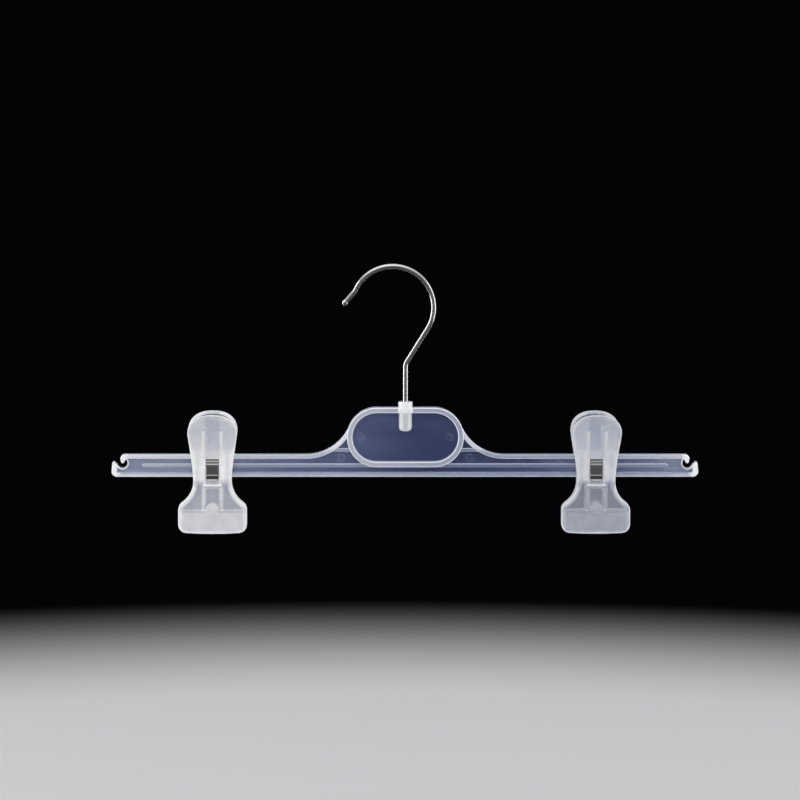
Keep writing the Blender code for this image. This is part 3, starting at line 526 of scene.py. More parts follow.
def straight(start, end, steps):
    """Points (x, z) on a straight run, both ends included."""
    return [tuple(a + (b - a) * step / steps for a, b in zip(start, end))
            for step in range(steps + 1)]


def further(start, heading, length):
    """The point at a length from start, with the heading in radians."""
    return start[0] + length * cos(heading), start[1] + length * sin(heading)


def hook_line():
    """The wire's centre line from its foot to the far side of the ball."""
    lean = degrees(HOOK_LEAN)
    bend_start = BEND_Z - HOOK_BEND_RADIUS * tan(HOOK_LEAN / 2)
    foot = straight((0.0, HEAD_BOTTOM_Z), (0.0, HEAD_BOTTOM_Z + 2 * HEAD_HEIGHT), 24)
    shank = straight(foot[-1], (0.0, bend_start), 6)
    bend = arc(HOOK_BEND_RADIUS, bend_start, HOOK_BEND_RADIUS, 180, 180 - lean, 14)
    around = arc(-HOOK_ARC_OFFSET, ARC_CENTRE_Z, HOOK_ARC_RADIUS, -lean, HOOK_MOUTH_ANGLE, 110)
    heading = radians(HOOK_MOUTH_ANGLE + 90 - HOOK_TIP_KICK)
    tip = further(around[-1], heading, HOOK_TIP_LENGTH)
    before = further(tip, heading, -BALL_RUN * BALL_RADIUS)
    run = straight(around[-1], before, 6)
    ball = []
    for step in range(1, BALL_STEPS + 1):
        share = sin(pi / 2 * step / BALL_STEPS)
        ball.append(further(before, heading, (BALL_RUN + 1) * BALL_RADIUS * share))
    return foot + shank[1:] + bend[1:] + around[1:] + run[1:] + ball


wire_line = hook_line()
print(len(wire_line), "points on the wire's centre line")

# %% Sweep tree
WIRE_SIZES = {"Wire Radius": WIRE_RADIUS, "Ball Radius": BALL_RADIUS, "Head Radius": HEAD_RADIUS,
              "Head Height": HEAD_HEIGHT, "Head Bevel": HEAD_BEVEL}
WIRE_SIDES = 36
LEAST_RADIUS = 0.00001
MERGE_DISTANCE = 0.00002

tree = bpy.data.node_groups.new("wire_sweep", "GeometryNodeTree")
sizes = [(size, "Float") for size in WIRE_SIZES]
for name, kind in [("Geometry", "Geometry"), ("Material", "Material")] + sizes:
    tree.interface.new_socket(name, in_out="INPUT", socket_type="NodeSocket" + kind)
tree.interface.new_socket("Geometry", in_out="OUTPUT", socket_type="NodeSocketGeometry")
given = add_node(tree, "NodeGroupInput").outputs
wire_radius, ball_radius, head_radius, head_height, head_bevel = (given[n] for n in WIRE_SIZES)

curve = add_node(tree, "GeometryNodeMeshToCurve", {0: given["Geometry"]})
from_foot = add_node(tree, "GeometryNodeSplineParameter").outputs["Length"]
whole = add_node(tree, "GeometryNodeSplineLength").outputs["Length"]
from_tip = take(whole, from_foot)
off_middle = take(from_tip, ball_radius)
ball_square = take(product(ball_radius, ball_radius), product(off_middle, off_middle))
ball = work_out("SQRT", larger(ball_square, 0.0))
past_middle = work_out("GREATER_THAN", from_tip, ball_radius)
in_head = work_out("LESS_THAN", from_foot, head_height)
to_edge = work_out("MINIMUM", from_foot, take(head_height, from_foot))
bevel = work_out("MINIMUM", to_edge, head_bevel)
head = add(take(head_radius, head_bevel), bevel)
radius = larger(ball, product(past_middle, wire_radius))
radius = larger(radius, product(in_head, head))
radius = larger(radius, LEAST_RADIUS)
profile = add_node(tree, "GeometryNodeCurvePrimitiveCircle", {
    "Resolution": WIRE_SIDES, "Radius": 1.0})
made = add_node(tree, "GeometryNodeCurveToMesh", {
    "Curve": curve.outputs[0], "Profile Curve": profile.outputs["Curve"], "Scale": radius,
    "Fill Caps": True})
for kind, inputs in (("MergeByDistance", {"Distance": MERGE_DISTANCE}), ("SetShadeSmooth", {}),
                     ("RealizeInstances", {}), ("SetMaterial", {"Material": given["Material"]})):
    made = add_node(tree, "GeometryNode" + kind, {"Geometry": made.outputs[0], **inputs})
add_node(tree, "NodeGroupOutput", {"Geometry": made.outputs[0]})
print("wire_sweep has", len(tree.nodes), "nodes")


# %% Make the hook
def bake(made):
    """Replace an object's mesh by what its modifiers make of it, and remove them."""
    shown = made.evaluated_get(bpy.context.evaluated_depsgraph_get())
    mesh = bpy.data.meshes.new_from_object(shown)
    made.modifiers.clear()
    made.data = mesh
    mesh.name = made.name


mesh = bpy.data.meshes.new("hook_wire")
links = [(index, index + 1) for index in range(len(wire_line) - 1)]
mesh.from_pydata([(x, 0.0, z) for x, z in wire_line], links, [])
hook = placed("hook_wire", mesh)
sweep = hook.modifiers.new("wire_sweep", "NODES")
sweep.node_group = tree
values = {"Material": wire_metal, **WIRE_SIZES}
for item in tree.interface.items_tree:
    if item.in_out == "INPUT" and item.name in values:
        sweep[item.identifier] = values[item.name]
bake(hook)
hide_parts("hook")
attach(hook, "hook_body")
print("hook:", len(hook.data.polygons), "faces")

# %% [markdown]
# ## Soft solids
# A mould can't make a knife edge, and on clear plastic the rounding of each edge shows as a bright
# line. A Bevel modifier goes wrong on the many short edges that cutting leaves, so each body is
# extruded with its rounding built in: rings of the outline, moved inward by a quarter circle. The
# cutting bodies flare outward instead.

# %% Soft extrusion
EDGE_STEPS = 4
EDGE_ANGLES = [pi / 2 * step / EDGE_STEPS for step in range(EDGE_STEPS + 1)]
LEAST_COSINE = 0.5  # keeps a sharp corner from running far out
OVERSHOOT = 0.002   # how far a cutting body runs past what it cuts


def moved_inward(outline, inset):
    """The outline with each point moved inward, across the mean of its two sides. Its points run
    anticlockwise, and a negative inset moves them outward."""
    moved = []
    for index, point in enumerate(outline):
        here = Vector(point)
        a = (here - Vector(outline[index - 1])).normalized()
        b = (Vector(outline[(index + 1) % len(outline)]) - here).normalized()
        normal_a = Vector((-a.y, a.x))
        normal_b = Vector((-b.y, b.x))
        middle = (normal_a + normal_b).normalized()
        reach = inset / max(middle.dot(normal_a), LEAST_COSINE)
        moved.append(tuple(here + middle * reach))
    return moved


def clean(outline, least=0.00002):
    """The outline without doubled points, running anticlockwise."""
    kept = []
    for point in outline:
        if not kept or dist(point, kept[-1]) > least:
            kept.append(point)
    if dist(kept[0], kept[-1]) <= least:
        kept.pop()
    area = sum(a[0] * b[1] - b[0] * a[1] for a, b in zip(kept, kept[1:] + kept[:1]))
    return kept if area > 0 else kept[::-1]


def skin(name, rings):
    """A closed body from rings of points, each joined to the next. A ring of one is a tip."""
    bm = bmesh.new()
    made = [[bm.verts.new(point) for point in ring] for ring in rings]
    for end in (made[0], made[-1]):
        if len(end) > 2:
            bm.faces.new(end)
    for low, high in zip(made, made[1:]):
        for index in range(max(len(low), len(high))):
            corners = (low[index % len(low)], low[(index + 1) % len(low)],
                       high[(index + 1) % len(high)], high[index % len(high)])
            bm.faces.new(list(dict.fromkeys(corners)))
    bmesh.ops.recalc_face_normals(bm, faces=bm.faces)
    return placed_mesh(name, bm)


def stack(name, layers, along="Y"):
    """A closed body from outlines at rising depths, each layer as (depth, outline)."""
    if along == "Y":
        return skin(name, [[(x, depth, z) for x, z in outline] for depth, outline in layers])
    return skin(name, [[(depth, y, z) for y, z in outline] for depth, outline in layers])


def soft_body(name, outline, half_depth, radius, along="Y"):
    """An extrusion from -half_depth to half_depth whose long edges are round."""
    outline = clean(outline)
    layers = [(radius * (1 - cos(angle)) - half_depth,
               moved_inward(outline, radius * (1 - sin(angle)))) for angle in EDGE_ANGLES]
    layers += [(-depth, layer) for depth, layer in reversed(layers)]
    return stack(name, layers, along)


def flared_cutter(name, outline, start, face, radius, side):
    """A cutting body from start out past face, which widens at the face to round the edge left."""
    outline = clean(outline)
    layers = [(side * start, outline)]
    layers += [(side * (face - radius + radius * sin(angle)),
                moved_inward(outline, -radius * (1 - cos(angle)))) for angle in EDGE_ANGLES]
    layers.append((side * (face + OVERSHOOT), moved_inward(outline, -radius)))
    return stack(name, layers)


def turned(name, profile, sides):
    """A closed body of revolution about the Z axis from (radius, height) points."""
    angles = [tau * side / sides for side in range(sides)]
    return skin(name, [[(radius * cos(a), radius * sin(a), height) for a in angles]
                       if radius else [(0.0, 0.0, height)] for radius, height in profile])


def combine(body, tool, operation):
    """Join or cut body with tool by an exact Boolean, and remove tool."""
    change = body.modifiers.new(operation.title(), "BOOLEAN")
    change.operation = operation
    change.solver = "EXACT"
    change.object = tool
    bake(body)
    bpy.data.objects.remove(tool, do_unlink=True)


print("edges are rounded in", EDGE_STEPS, "steps")

# %% [markdown]
# ## The beam
# The beam is one moulding, so it has to be one skin: overlapping clear bodies would show their
# hidden walls. It is built up and cut back like the tool that moulds it. The outer body comes
# first, then the two pockets that leave the thin web, then the ring, the ribs and the boss.

# %% Outlines of the beam
SHOULDER_RADIUS = 0.0278
SHOULDER_OUTER_STOP = 4.0
SHOULDER_INNER_STOP = 1.0
BEAM_CORNER_RADIUS = 0.0033
NOTCH_RADIUS = 0.00305
NOTCH_INSET = 0.0065
NOTCH_RISE = 0.0015
NOTCH_RIM = 0.0009
NOTCH_END_RISE = 0.00145
NOTCH_END_RADIUS = 0.00055
NOTCH_END_ANGLE = asin(NOTCH_END_RISE / NOTCH_RADIUS)
LOWER_LIP_WIDTH = 0.0034
UPPER_NOSE_RADIUS = 0.0026
NOSE_RISE = BEAM_TOP - UPPER_NOSE_RADIUS
RING_RISE = RING_Z - BEAM_Z
FLANGE_INNER = BEAM_TOP - FLANGE_THICKNESS
NOTCH_X = NOTCH_INSET - BEAM_END
BEHIND_LIP_X = NOTCH_RADIUS * cos(NOTCH_END_ANGLE) - NOTCH_END_RADIUS
LEFT_END = (  # arcs: centre across and up from the notch's, radius, two angles in degrees, steps
    (-0.0051, -0.00015, 0.0009, 170, 35, 9),                             # the lower lip's tip
    (0.0, 0.0, NOTCH_RADIUS, 200, 360 + degrees(NOTCH_END_ANGLE), 26),   # the notch
    (BEHIND_LIP_X, NOTCH_END_RISE, NOTCH_END_RADIUS, 0, 175, 8),         # and behind the lip
    (0.0002, 0.0009, 0.0010, 350, 190, 9),                               # the upper lip's tip
    (0.0014, NOSE_RISE - NOTCH_RISE, UPPER_NOSE_RADIUS, 178, 90, 10),    # and its nose
)


def mirrored_half(half):
    """A left half and its mirror image, as one closed outline at the beam's height."""
    whole = half + [(-x, z) for x, z in reversed(half)]
    return [(x, z + BEAM_Z) for x, z in whole]


def stadium(half_straight, radius, height, steps):
    """An oval with straight long sides and round ends."""
    right = arc(half_straight, height, radius, -90, 90, steps)
    return right + arc(-half_straight, height, radius, 90, 270, steps)


def shoulder_centre():
    """Centre of the left shoulder's arc, which touches the beam's top and the ring."""
    height = BEAM_TOP + SHOULDER_RADIUS
    reach = SHOULDER_RADIUS + RING_OUTER_RADIUS
    return -RING_HALF_STRAIGHT - sqrt(reach ** 2 - (height - RING_RISE) ** 2), height


def shoulder_and_crown(shoulder_radius, stop, ring_radius):
    """An edge up the left shoulder, and on round the ring's left half to its top."""
    centre_x, centre_z = shoulder_centre()
    joint = degrees(atan2(RING_RISE - centre_z, -RING_HALF_STRAIGHT - centre_x))
    shoulder = arc(centre_x, centre_z, shoulder_radius, -90, joint - stop, 28)
    return shoulder + arc(-RING_HALF_STRAIGHT, RING_RISE, ring_radius, 180 + joint, 90, 16)


def beam_outline():
    """The outer edge."""
    end = [arc(NOTCH_X + x, NOTCH_RISE + z, *sweep) for x, z, *sweep in LEFT_END]
    corner = arc(BEAM_CORNER_RADIUS - BEAM_END, BEAM_CORNER_RADIUS - BEAM_TOP, BEAM_CORNER_RADIUS,
                 270, 185, 10)
    rest = shoulder_and_crown(SHOULDER_RADIUS, SHOULDER_OUTER_STOP,
                              RING_OUTER_RADIUS - RING_WALL / 3)
    return mirrored_half(corner + sum(end, []) + rest)


def pocket_outline():
    """Inner edge of the flanges, which the web lies within."""
    rim = NOTCH_RADIUS + NOTCH_RIM
    lip_inner = LOWER_LIP_WIDTH - BEAM_END
    low_angle = 360 - degrees(acos((lip_inner - NOTCH_X) / rim))
    high_angle = 360 + degrees(asin((FLANGE_INNER - NOTCH_RISE) / rim))
    round_notch = arc(NOTCH_X, NOTCH_RISE, rim, low_angle, high_angle, 20)
    rest = shoulder_and_crown(SHOULDER_RADIUS + FLANGE_THICKNESS, SHOULDER_INNER_STOP,
                              RING_INNER_RADIUS + RING_WALL / 3)
    return mirrored_half([(lip_inner, -FLANGE_INNER)] + round_notch + rest)


print("beam outline has", len(beam_outline()), "points")

# %% Boss and its bore
BOSS_RADIUS = 0.0042
BOSS_ROUNDING = 0.0024
COLLAR_RADIUS = 0.00445
COLLAR_HEIGHT = 0.0052
COLLAR_EDGE = 0.0004
BORE_CLEARANCE = 0.0001
BORE_CHAMFER = 0.0003


def boss_profile():
    """The hook boss with its collar, from the bottom up."""
    round_foot = arc(BOSS_RADIUS - BOSS_ROUNDING, BOSS_BOTTOM_Z + BOSS_ROUNDING, BOSS_ROUNDING,
                     -90, 0, 10)
    collar_z = BOSS_TOP_Z - COLLAR_HEIGHT
    collar = [(BOSS_RADIUS, collar_z - (COLLAR_RADIUS - BOSS_RADIUS)), (COLLAR_RADIUS, collar_z)]
    rim = arc(COLLAR_RADIUS - COLLAR_EDGE, BOSS_TOP_Z - COLLAR_EDGE, COLLAR_EDGE, 0, 90, 4)
    return [(0.0, BOSS_BOTTOM_Z)] + round_foot + collar + rim + [(0.0, BOSS_TOP_Z)]


def bore_profile():
    """The stepped hole for the shank and its head."""
    floor_z = HEAD_BOTTOM_Z - SEAT_GAP
    roof = floor_z + HEAD_HEIGHT + 2 * SEAT_GAP
    wide, narrow = HEAD_RADIUS + SEAT_GAP, WIRE_RADIUS + BORE_CLEARANCE
    mouth, end = narrow + BORE_CHAMFER, BOSS_TOP_Z + OVERSHOOT
    return [(0.0, floor_z), (wide, floor_z), (wide, roof), (narrow, roof),
            (narrow, BOSS_TOP_Z - BORE_CHAMFER), (mouth, BOSS_TOP_Z), (mouth, end), (0.0, end)]


print("boss", round((BOSS_TOP_Z - BOSS_BOTTOM_Z) * 1000, 1), "mm tall")

# %% Make the beam
FLANGE_EDGE = 0.0006
RING_EDGE = 0.0008
RING_HALF_DEPTH = 0.0040
HOLE_OVERLAP = 0.0005
RIB_EDGE = 0.0006
RIB_HALF_HEIGHT = 0.0012
RIB_HALF_DEPTH = 0.00225
RIB_END_INSET = 0.0181
BRACE_EDGE = 0.0005
BRACE_HALF_DEPTH = 0.0025
BRACE_HEIGHT = 0.0022
BRACE_GAP = 0.0015


def brace_outline(side):
    """The short rib between a shoulder and the ring."""
    low, high = BEAM_TOP + BRACE_GAP, BEAM_TOP + BRACE_GAP + BRACE_HEIGHT
    middle = (low + high) / 2
    centre_x, centre_z = shoulder_centre()
    shoulder = SHOULDER_RADIUS + FLANGE_THICKNESS / 2
    ring_middle = RING_OUTER_RADIUS - RING_WALL / 2
    outer = -centre_x - sqrt(shoulder ** 2 - (centre_z - middle) ** 2)
    inner = RING_HALF_STRAIGHT + sqrt(ring_middle ** 2 - (RING_RISE - middle) ** 2)
    corners = [(inner, low), (outer, low), (outer, high), (inner, high)]
    return [(side * x, z + BEAM_Z) for x, z in corners]


beam = soft_body("clear_beam", beam_outline(), FACE, FLANGE_EDGE)
oval = stadium(RING_HALF_STRAIGHT, RING_OUTER_RADIUS, RING_Z, 32)
hole = stadium(RING_HALF_STRAIGHT, RING_INNER_RADIUS, RING_Z, 32)
ring = soft_body("ring", oval, RING_HALF_DEPTH, RING_EDGE)
for side in (-1, 1):
    combine(beam, flared_cutter("pocket", pocket_outline(), WEB_THICKNESS / 2, FACE, FLANGE_EDGE,
                                side), "DIFFERENCE")
    combine(ring, flared_cutter("hole", hole, -HOLE_OVERLAP, RING_HALF_DEPTH, RING_EDGE, side),
            "DIFFERENCE")
combine(beam, ring, "UNION")
rib = stadium(BEAM_END - RIB_END_INSET - RIB_HALF_HEIGHT, RIB_HALF_HEIGHT, BEAM_Z, 10)
combine(beam, soft_body("rib", rib, RIB_HALF_DEPTH, RIB_EDGE), "UNION")
for side in (-1, 1):
    brace = soft_body("brace", brace_outline(side), BRACE_HALF_DEPTH, BRACE_EDGE)
    combine(beam, brace, "UNION")
combine(beam, turned("boss", boss_profile(), 40), "UNION")
combine(beam, turned("bore", bore_profile(), 36), "DIFFERENCE")
print("beam:", len(beam.data.polygons), "faces")

# %% Finish the beam
DOUBLED = 0.000004
SHARP_ANGLE = radians(40.0)
FLAT_WEIGHT = 80


def finish_moulding(body, material):
    """Merge doubled points, close flat faces, smooth the round edges and keep flat ones flat."""
    bm = bmesh.new()
    bm.from_mesh(body.data)
    bmesh.ops.remove_doubles(bm, verts=bm.verts, dist=DOUBLED)
    bmesh.ops.dissolve_degenerate(bm, edges=bm.edges, dist=DOUBLED / 2)
    bmesh.ops.triangulate(bm, faces=[f for f in bm.faces if len(f.verts) > 4])
    bmesh.ops.recalc_face_normals(bm, faces=bm.faces)
    open_edges = sum(1 for e in bm.edges if len(e.link_faces) != 2)
    bm.to_mesh(body.data)
    bm.free()
    body.data.materials.clear()
    body.data.materials.append(material)
    body.data.shade_smooth()
    body.data.set_sharp_from_angle(angle=SHARP_ANGLE)
    weigh = body.modifiers.new("flat_faces_stay_flat", "WEIGHTED_NORMAL")
    weigh.keep_sharp = True
    weigh.weight = FLAT_WEIGHT
    bake(body)
    print(body.name, len(body.data.polygons), "faces,", open_edges, "edges that aren't closed")


finish_moulding(beam, beam_plastic)
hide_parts("beam")
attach(beam, "hanger")

# %% [markdown]
# ## The jaws
# All four jaws come from one mould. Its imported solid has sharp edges, so a copy is remeshed with
# a fine even grid and relaxed a little, which rounds every edge by the same small radius. The
# grid also carries the milkiness: from each point, rays go into the plastic, and the longer they
# run before they come out, the whiter the point. One jaw is made, and copies go to each place.

# %% Plastic depth
LONGEST_RAY = 0.0070
RAY_START = 0.00005
RAY_TILT = 0.30
RAY_TURNS = [tau * k / 6 for k in range(6)]


def plastic_depth(mesh):
    """How far rays run inside the plastic from each point, mostly straight in, in metres."""
    tree = BVHTree.FromPolygons([v.co for v in mesh.vertices], [p.vertices for p in mesh.polygons])
    depths = []
    for vertex in mesh.vertices:
        inward = -vertex.normal
        side = inward.orthogonal().normalized()
        other = inward.cross(side)
        start = vertex.co + inward * RAY_START
        ways = [inward]
        for turn in RAY_TURNS:
            aside = (side * cos(turn) + other * sin(turn)) * RAY_TILT
            ways.append((inward + aside).normalized())
        runs = [tree.ray_cast(start, way, LONGEST_RAY)[3] for way in ways]
        inner, *tilted_runs = [LONGEST_RAY if run is None else run for run in runs]
        depths.append((inner + sum(tilted_runs) / len(tilted_runs)) / 2)
    return np.array(depths)


def spread(mesh, values, times):
    """Each point's value, mixed half and half with its neighbours' mean so many times."""
    count = len(mesh.vertices)
    ends = np.zeros(len(mesh.edges) * 2, np.int64)
    mesh.edges.foreach_get("vertices", ends)
    a, b = ends.reshape(-1, 2).T
    links = np.bincount(ends, minlength=count)
    for _ in range(times):
        total = np.bincount(a, values[b], count) + np.bincount(b, values[a], count)
        values = 0.5 * values + 0.5 * total / links
    return values


def point_rows(mesh, field, kind=float):
    """The points' places or normals, as rows of three."""
    values = np.zeros(len(mesh.vertices) * 3, kind)
    mesh.vertices.foreach_get(field, values)
    return values.reshape(-1, 3)


def standing_out(mesh, steps):
    """How far each point stands out from its smoothed surroundings: positive on an edge and
    negative in a corner, in metres."""
    points = point_rows(mesh, "co")
    smooth = np.stack([spread(mesh, column, steps) for column in points.T], axis=1)
    return ((points - smooth) * point_rows(mesh, "normal")).sum(axis=1)


def rise(values, low, high):
    """0 at low, 1 at high, and a smooth curve between; low may be the larger."""
    share = np.clip((values - low) / (high - low), 0.0, 1.0)
    return share * share * (3 - 2 * share)


print("rays run at most", round(LONGEST_RAY * 1000), "mm")

# %% [markdown]
# The thickness alone isn't the whole look. The beam, the steel and the rear jaw behind the front
# one show through as more white, and so does each rib seen end on. So zones lighten or dim the
# milk. Painted light is added too: a painted highlight on each outer edge and along the plate's
# upper step, and painted shade in the inner corners. Each `rise` says where its zone is 0 and
# where it is 1, in metres from the jaw's middle line or from the pivot's height.

# %% Milk on the jaw
MILK_THIN = 0.39
MILK_THICK = 0.91
FOOT_GLOW = 0.13
BESIDE_GLOW = 0.15
RIM_DIM = 0.34
WAIST_GLOW = 0.20
CHEEK_MILK = 0.97
CHEEK_MIDDLE = 0.72
CHEEK_GAP_MILK = 0.14
RECESS_MILK = 0.82
PLATE_TOP = -0.0321
# Painted highlight along the plate's upper step.
STEP_HIGHLIGHT = 0.30
PAD_LINE = 0.20
PAD_HALF_WIDTH = 0.01885
MARGIN_GLOW = 0.08
OUTLINE_GLOW = 0.12
BUMP_RADIUS = 0.0037
BUMP_HEIGHT = PLATE_TOP + 0.0007
BUMP_MILK = 0.75
BUMP_SHADE = 0.08
BUMP_CALM = 0.9
# Painted light: outer edges are painted whiter as highlights, and inner corners darker as shade.
EDGE_SPREAD = 8
EDGE_HEIGHT = 0.00012
PAINTED_EDGE_LIGHT_GAIN = 0.50
LEAST_MILK = 0.2


def upper_milk(across, height, deep):
    """Milk on the handle, the waist and the cheeks, where deep is 1 for thick plastic."""
    milk = MILK_THIN + (MILK_THICK - MILK_THIN) * deep
    beside = rise(across, 0.0036, 0.0056)
    foot = rise(height, 0.0185, 0.0040)
    milk += rise(height, -0.0020, 0.0040) * (FOOT_GLOW * foot + BESIDE_GLOW * beside)
    rim = np.maximum(rise(height, 0.0195, 0.0215), rise(across, 0.0080, 0.0092))
    milk -= RIM_DIM * deep * rim * rise(height, 0.0060, 0.0130)
    waist = rise(height, -0.0120, -0.0165) * rise(height, -0.0315, -0.0285)
    milk += WAIST_GLOW * deep * waist * rise(across, 0.0075, 0.0085)
    gap = np.exp(-((across - 0.0088) / 0.0013) ** 2)
    cheek = rise(height, 0.0070, 0.0014) * rise(height, -0.0180, -0.0118)
    cheek_milk = CHEEK_MIDDLE + (CHEEK_MILK - CHEEK_MIDDLE) * beside - CHEEK_GAP_MILK * gap
    milk += np.maximum(cheek_milk - milk, 0.0) * cheek
    recess = rise(height, -0.0168, -0.0160) * rise(height, -0.0110, -0.0118)
    recess *= rise(across, 0.0050, 0.0042)
    return milk + np.maximum(RECESS_MILK - milk, 0.0) * recess


def plate_glow(across, height, from_bump):
    """What the lines of the plate add: a painted highlight along its upper step, a darker line at
    the pad's top, and the pad's outline behind it.
    """
    below = PLATE_TOP - height
    clear = rise(from_bump, BUMP_RADIUS, BUMP_RADIUS + 0.0012) * rise(across, 0.0184, 0.0180)
    # Painted highlight along the top edge of the plate's upper step, which faces the light above.
    step = rise(np.abs(below + 0.0002), 0.0005, 0.0002)
    pad_top = rise(np.abs(below - 0.0008), 0.0006, 0.0002)
    inside = PAD_HALF_WIDTH - across
    margin = np.maximum(rise(inside, 0.0007, 0.0002), rise(height, -0.0441, -0.0446))
    outline = rise(np.abs(inside - 0.0004), 0.0005, 0.0001)
    pad = (MARGIN_GLOW * margin + OUTLINE_GLOW * outline) * rise(below, 0.0, 0.0010)
    return (STEP_HIGHLIGHT * step - PAD_LINE * pad_top) * clear + pad


def store_milk(mesh):
    """Store on each point how milky the plastic looks there, with painted highlights on its edges
    and painted shade in its corners.
    """
    across, _, height = point_rows(mesh, "co").T
    across = np.abs(across)
    above_bump = height - BUMP_HEIGHT
    from_bump = np.hypot(across, above_bump)
    milk = upper_milk(across, height, rise(plastic_depth(mesh), 0.0018, 0.0040))
    bump_milk = BUMP_MILK - BUMP_SHADE * rise(above_bump, 0.0015, -0.0015)
    milk += (bump_milk - milk) * rise(from_bump, BUMP_RADIUS + 0.0008, BUMP_RADIUS - 0.0008)
    milk += plate_glow(across, height, from_bump)
    # Painted light from the shape: what stands out is painted lighter, what sinks in is painted as
    # shade.
    edge = np.clip(standing_out(mesh, EDGE_SPREAD) / EDGE_HEIGHT, -0.5, 1.0)
    calm = BUMP_CALM * rise(from_bump, BUMP_RADIUS + 0.0016, BUMP_RADIUS + 0.0006)
    milk += PAINTED_EDGE_LIGHT_GAIN * edge * (1.0 - calm)
    milk = spread(mesh, np.clip(milk, LEAST_MILK, 1.0), 2).astype(np.float32)
    mesh.attributes.new("milk", "FLOAT", "POINT").data.foreach_set("value", milk)
    print("milk:", [round(float(v), 2) for v in np.percentile(milk, (2, 25, 50, 75, 98))])


# %% One jaw
JAW_GRID = 0.00030
RELAX_STEPS = 7

bm = bmesh.new()
bm.from_mesh(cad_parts["left_front_jaw"].data)
bmesh.ops.remove_doubles(bm, verts=bm.verts, dist=DOUBLED / 2)
to_origin = (-CLIP_STATIONS["left"], PIVOT_DEPTH, -PIVOT_Z)
bmesh.ops.translate(bm, verts=bm.verts, vec=to_origin)
jaw = placed_mesh("jaw", bm)
grid = jaw.modifiers.new("even_grid", "REMESH")
grid.mode = "VOXEL"
grid.voxel_size = JAW_GRID
relax = jaw.modifiers.new("relaxed", "SMOOTH")
relax.factor = 0.5
relax.iterations = RELAX_STEPS
bake(jaw)
store_milk(jaw.data)
print("jaw:", len(jaw.data.polygons), "faces")

# %% Four jaws
CLIP_MILK = {"left": (1.0, 1.0), "right": (0.76, 0.50)}  # share on the handle, and lower down


def place_jaw(side, face):
    """A copy of the jaw, with its place in its mesh. One clip of the two in the photograph is a
    little clearer, as mouldings from different shots are, though not on its white edges."""
    mesh = jaw.data.copy()
    mesh.name = f"{side}_{face}_jaw_shell"
    points = point_rows(mesh, "co", np.float32)
    milk = np.zeros(len(mesh.vertices), np.float32)
    stored = mesh.attributes["milk"].data
    stored.foreach_get("value", milk)
    on_handle, lower_down = CLIP_MILK[side]
    lower = rise(points[:, 2], -0.0130, -0.0170) * rise(milk, 0.95, 0.78)
    milk *= on_handle + (lower_down - on_handle) * lower
    stored.foreach_set("value", milk)
    points[:, 0] = points[:, 0] * -FACES[face] + CLIP_STATIONS[side]
    points[:, 1] = (points[:, 1] - PIVOT_DEPTH) * -FACES[face]
    points[:, 2] += PIVOT_Z
    mesh.vertices.foreach_set("co", points.ravel())
    mesh.update()
    mesh.materials.clear()
    mesh.materials.append(jaw_plastic)
    mesh.shade_smooth()
    made = placed(mesh.name, mesh)
    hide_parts(f"{side}_{face}_jaw")
    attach(made, f"{side}_{face}_jaw_body")


for side in CLIP_STATIONS:
    for face in FACES:
        place_jaw(side, face)
bpy.data.objects.remove(jaw, do_unlink=True)
print("four jaws in place")

# %% [markdown]
# ## The pads
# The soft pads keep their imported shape, ridges and all, because only their outline shows through
# the jaws. They get the soft grip's finish in their own slot.

# %% Pads
for side in CLIP_STATIONS:
    for face in FACES:
        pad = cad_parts[f"{side}_{face}_pad"]
        for slot in pad.material_slots:
            slot.material = pad_plastic
print("pads dressed,", len(pad.material_slots), "slot each")

# %% [markdown]
# ## The springs
# Each spring is a strip of steel over the beam, and its two legs flex as the jaws open. A piece
# can bend between two bodies, but not between three, so each spring is made as two legs that
# meet at the crown's middle.

# %% Leg line
SPRING_WIDTH = 0.0073
SPRING_THICKNESS = 0.0008
CROWN_BEND = 0.0009
LEG_EXIT_DROP = 0.0018
LEG_FLAT_DROP = 0.0062
EXIT_BEND_HANDLE = 0.0012
LIP_DROP = 0.0127
LIP_RADIUS = 0.0017
LIP_TURN = 65.0
LIP_TAPER = 0.45
CURL_STEPS = 14
RIPPLE_START = 0.0014
RIPPLE_END = 0.0050
RIPPLE_LENGTH = 0.0018
RIPPLE_HEIGHT = 0.00008
RIPPLE_FADE = 5
RIDGE = ((0.0098, 0.0), (0.0106, 0.0), (0.0109, 0.00016), (0.0112, 0.00035), (0.0115, 0.00032),
         (0.0120, 0.00014), (0.0125, 0.0))
JAW_SKIN = 0.0015
NECK_DEPTH = 0.0019
WAIST_DROP = 0.0146
RECESS_FLOOR = 0.0012
LEG_DEPTH = FACE + SEAT_GAP + SPRING_THICKNESS / 2
KNEE_DEPTH = LEG_DEPTH + SPRING_THICKNESS / 2 + SEAT_GAP + JAW_SKIN


def bezier(start, handle_a, handle_b, end, steps):
    """Points on a cubic curve, both ends included."""
    t = np.arange(steps + 1) / steps
    weights = np.array([(1 - t) ** 3, 3 * (1 - t) ** 2 * t, 3 * (1 - t) * t ** 2, t ** 3])
    return (weights.T @ np.array([start, handle_a, handle_b, end])).tolist()


def rippled(points):
    """The knee's points with the two small steps that the bending tool leaves."""
    moved = []
    for depth, height in points:
        share = (-height - RIPPLE_START) / (RIPPLE_END - RIPPLE_START)
        wave = sin(tau * (-height - 1.5 * RIPPLE_LENGTH) / RIPPLE_LENGTH)
        part = min(1.0, RIPPLE_FADE * share, RIPPLE_FADE * (1 - share)) if 0 < share < 1 else 0.0
        moved.append((depth + RIPPLE_HEIGHT * wave * part, height))
    return moved


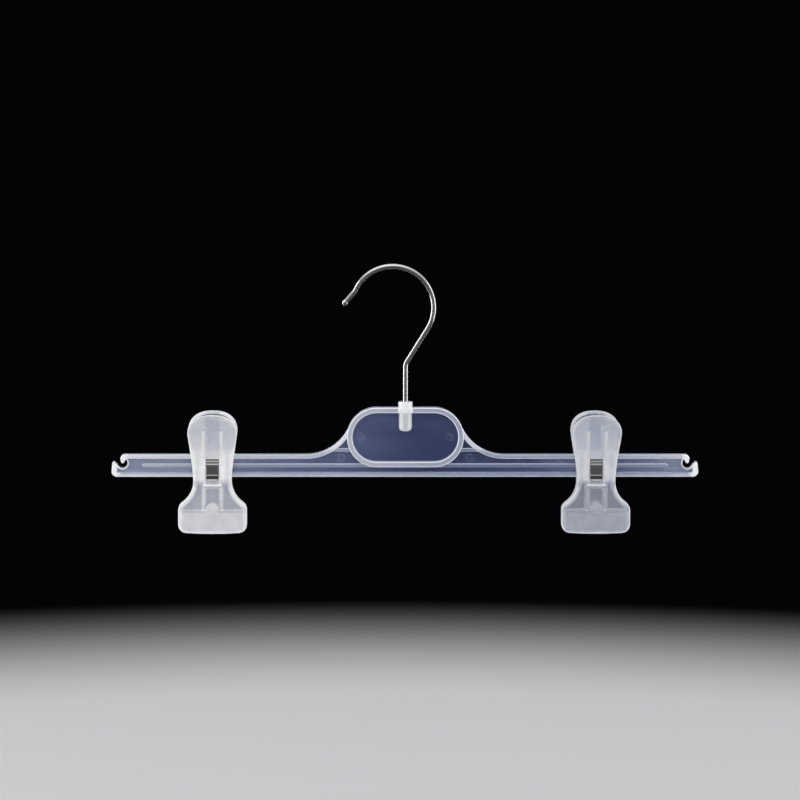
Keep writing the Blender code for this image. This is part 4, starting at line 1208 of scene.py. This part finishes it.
def leg_line():
    """Centre line of one leg as (depth, height from the pivot), from the crown to the lip's end."""
    crown = FLANGE_THICKNESS / 2 + SEAT_GAP + SPRING_THICKNESS / 2
    bend = arc(LEG_DEPTH - CROWN_BEND, crown - CROWN_BEND, CROWN_BEND, 90, 0, 10)
    lip_depth = PIVOT_DEPTH + RECESS_FLOOR + SEAT_GAP + SPRING_THICKNESS / 2
    slope = (KNEE_DEPTH - PIVOT_DEPTH - NECK_DEPTH) / WAIST_DROP
    flat_depth = KNEE_DEPTH - slope * LEG_FLAT_DROP - SPRING_THICKNESS / 2
    run = straight(bend[-1], (LEG_DEPTH, EXIT_BEND_HANDLE - LEG_EXIT_DROP), 3)
    out = rippled(bezier(run[-1], (LEG_DEPTH, -LEG_EXIT_DROP),
                         (flat_depth, EXIT_BEND_HANDLE - LEG_FLAT_DROP),
                         (flat_depth, -LEG_FLAT_DROP), 40))
    down = straight(out[-1], (flat_depth, -RIDGE[0][0]), 5)
    ridge = [(flat_depth + swell, -drop) for drop, swell in RIDGE[1:]]
    curl = arc(lip_depth + LIP_RADIUS, -LIP_DROP, LIP_RADIUS, 180, 180 + LIP_TURN, CURL_STEPS)
    return [(0.0, crown)] + bend + run[1:] + out[1:] + down[1:] + ridge + curl


def thicken(route, thickness):
    """Closed outline of a strip whose centre line is the route, thinner and round at its end."""
    left, right = [], []
    curl_start = len(route) - 1 - CURL_STEPS
    for index, here in enumerate(route):
        before = route[max(index - 1, 0)]
        after = route[min(index + 1, len(route) - 1)]
        heading = atan2(after[1] - before[1], after[0] - before[0])
        half = thickness / 2 * (1 - LIP_TAPER * max(0, index - curl_start) / CURL_STEPS)
        left.append(further(here, heading + pi / 2, half))
        right.append(further(here, heading - pi / 2, half))
    turn = degrees(heading)
    cap = arc(*route[-1], half, turn + 90, turn - 90, 6)
    return left + cap[1:-1] + right[::-1]


print(len(leg_line()), "points on a spring leg")

# %% Make the legs
LEG_EDGE = 0.00018
LIP_CORNER = 0.0021
LIP_END = 0.15


def round_lip(leg, station):
    """Narrow the strip towards the lip's end, so that its corners are round, and move the leg
    along the beam to its clip."""
    tip = leg_line()[-1]
    for vertex in leg.data.vertices:
        from_tip = dist((abs(vertex.co.y), vertex.co.z - PIVOT_Z), tip)
        if vertex.co.z < PIVOT_Z - LIP_DROP + LIP_CORNER / 2 and from_tip < LIP_CORNER:
            share = 1 - from_tip / LIP_CORNER
            vertex.co.x *= LIP_END + (1 - LIP_END) * sqrt(1 - share ** 2)
        vertex.co.x += station


for side, station in CLIP_STATIONS.items():
    for face, way in FACES.items():
        strip = thicken(leg_line(), SPRING_THICKNESS)
        outline = [(way * depth, height + PIVOT_Z) for depth, height in strip]
        leg = soft_body(f"{side}_{face}_spring_leg", outline, SPRING_WIDTH / 2, LEG_EDGE, "X")
        round_lip(leg, station)
        finish_moulding(leg, spring_metal)
        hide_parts(f"{side}_spring")
        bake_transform(leg)
print("four legs, two to a spring")
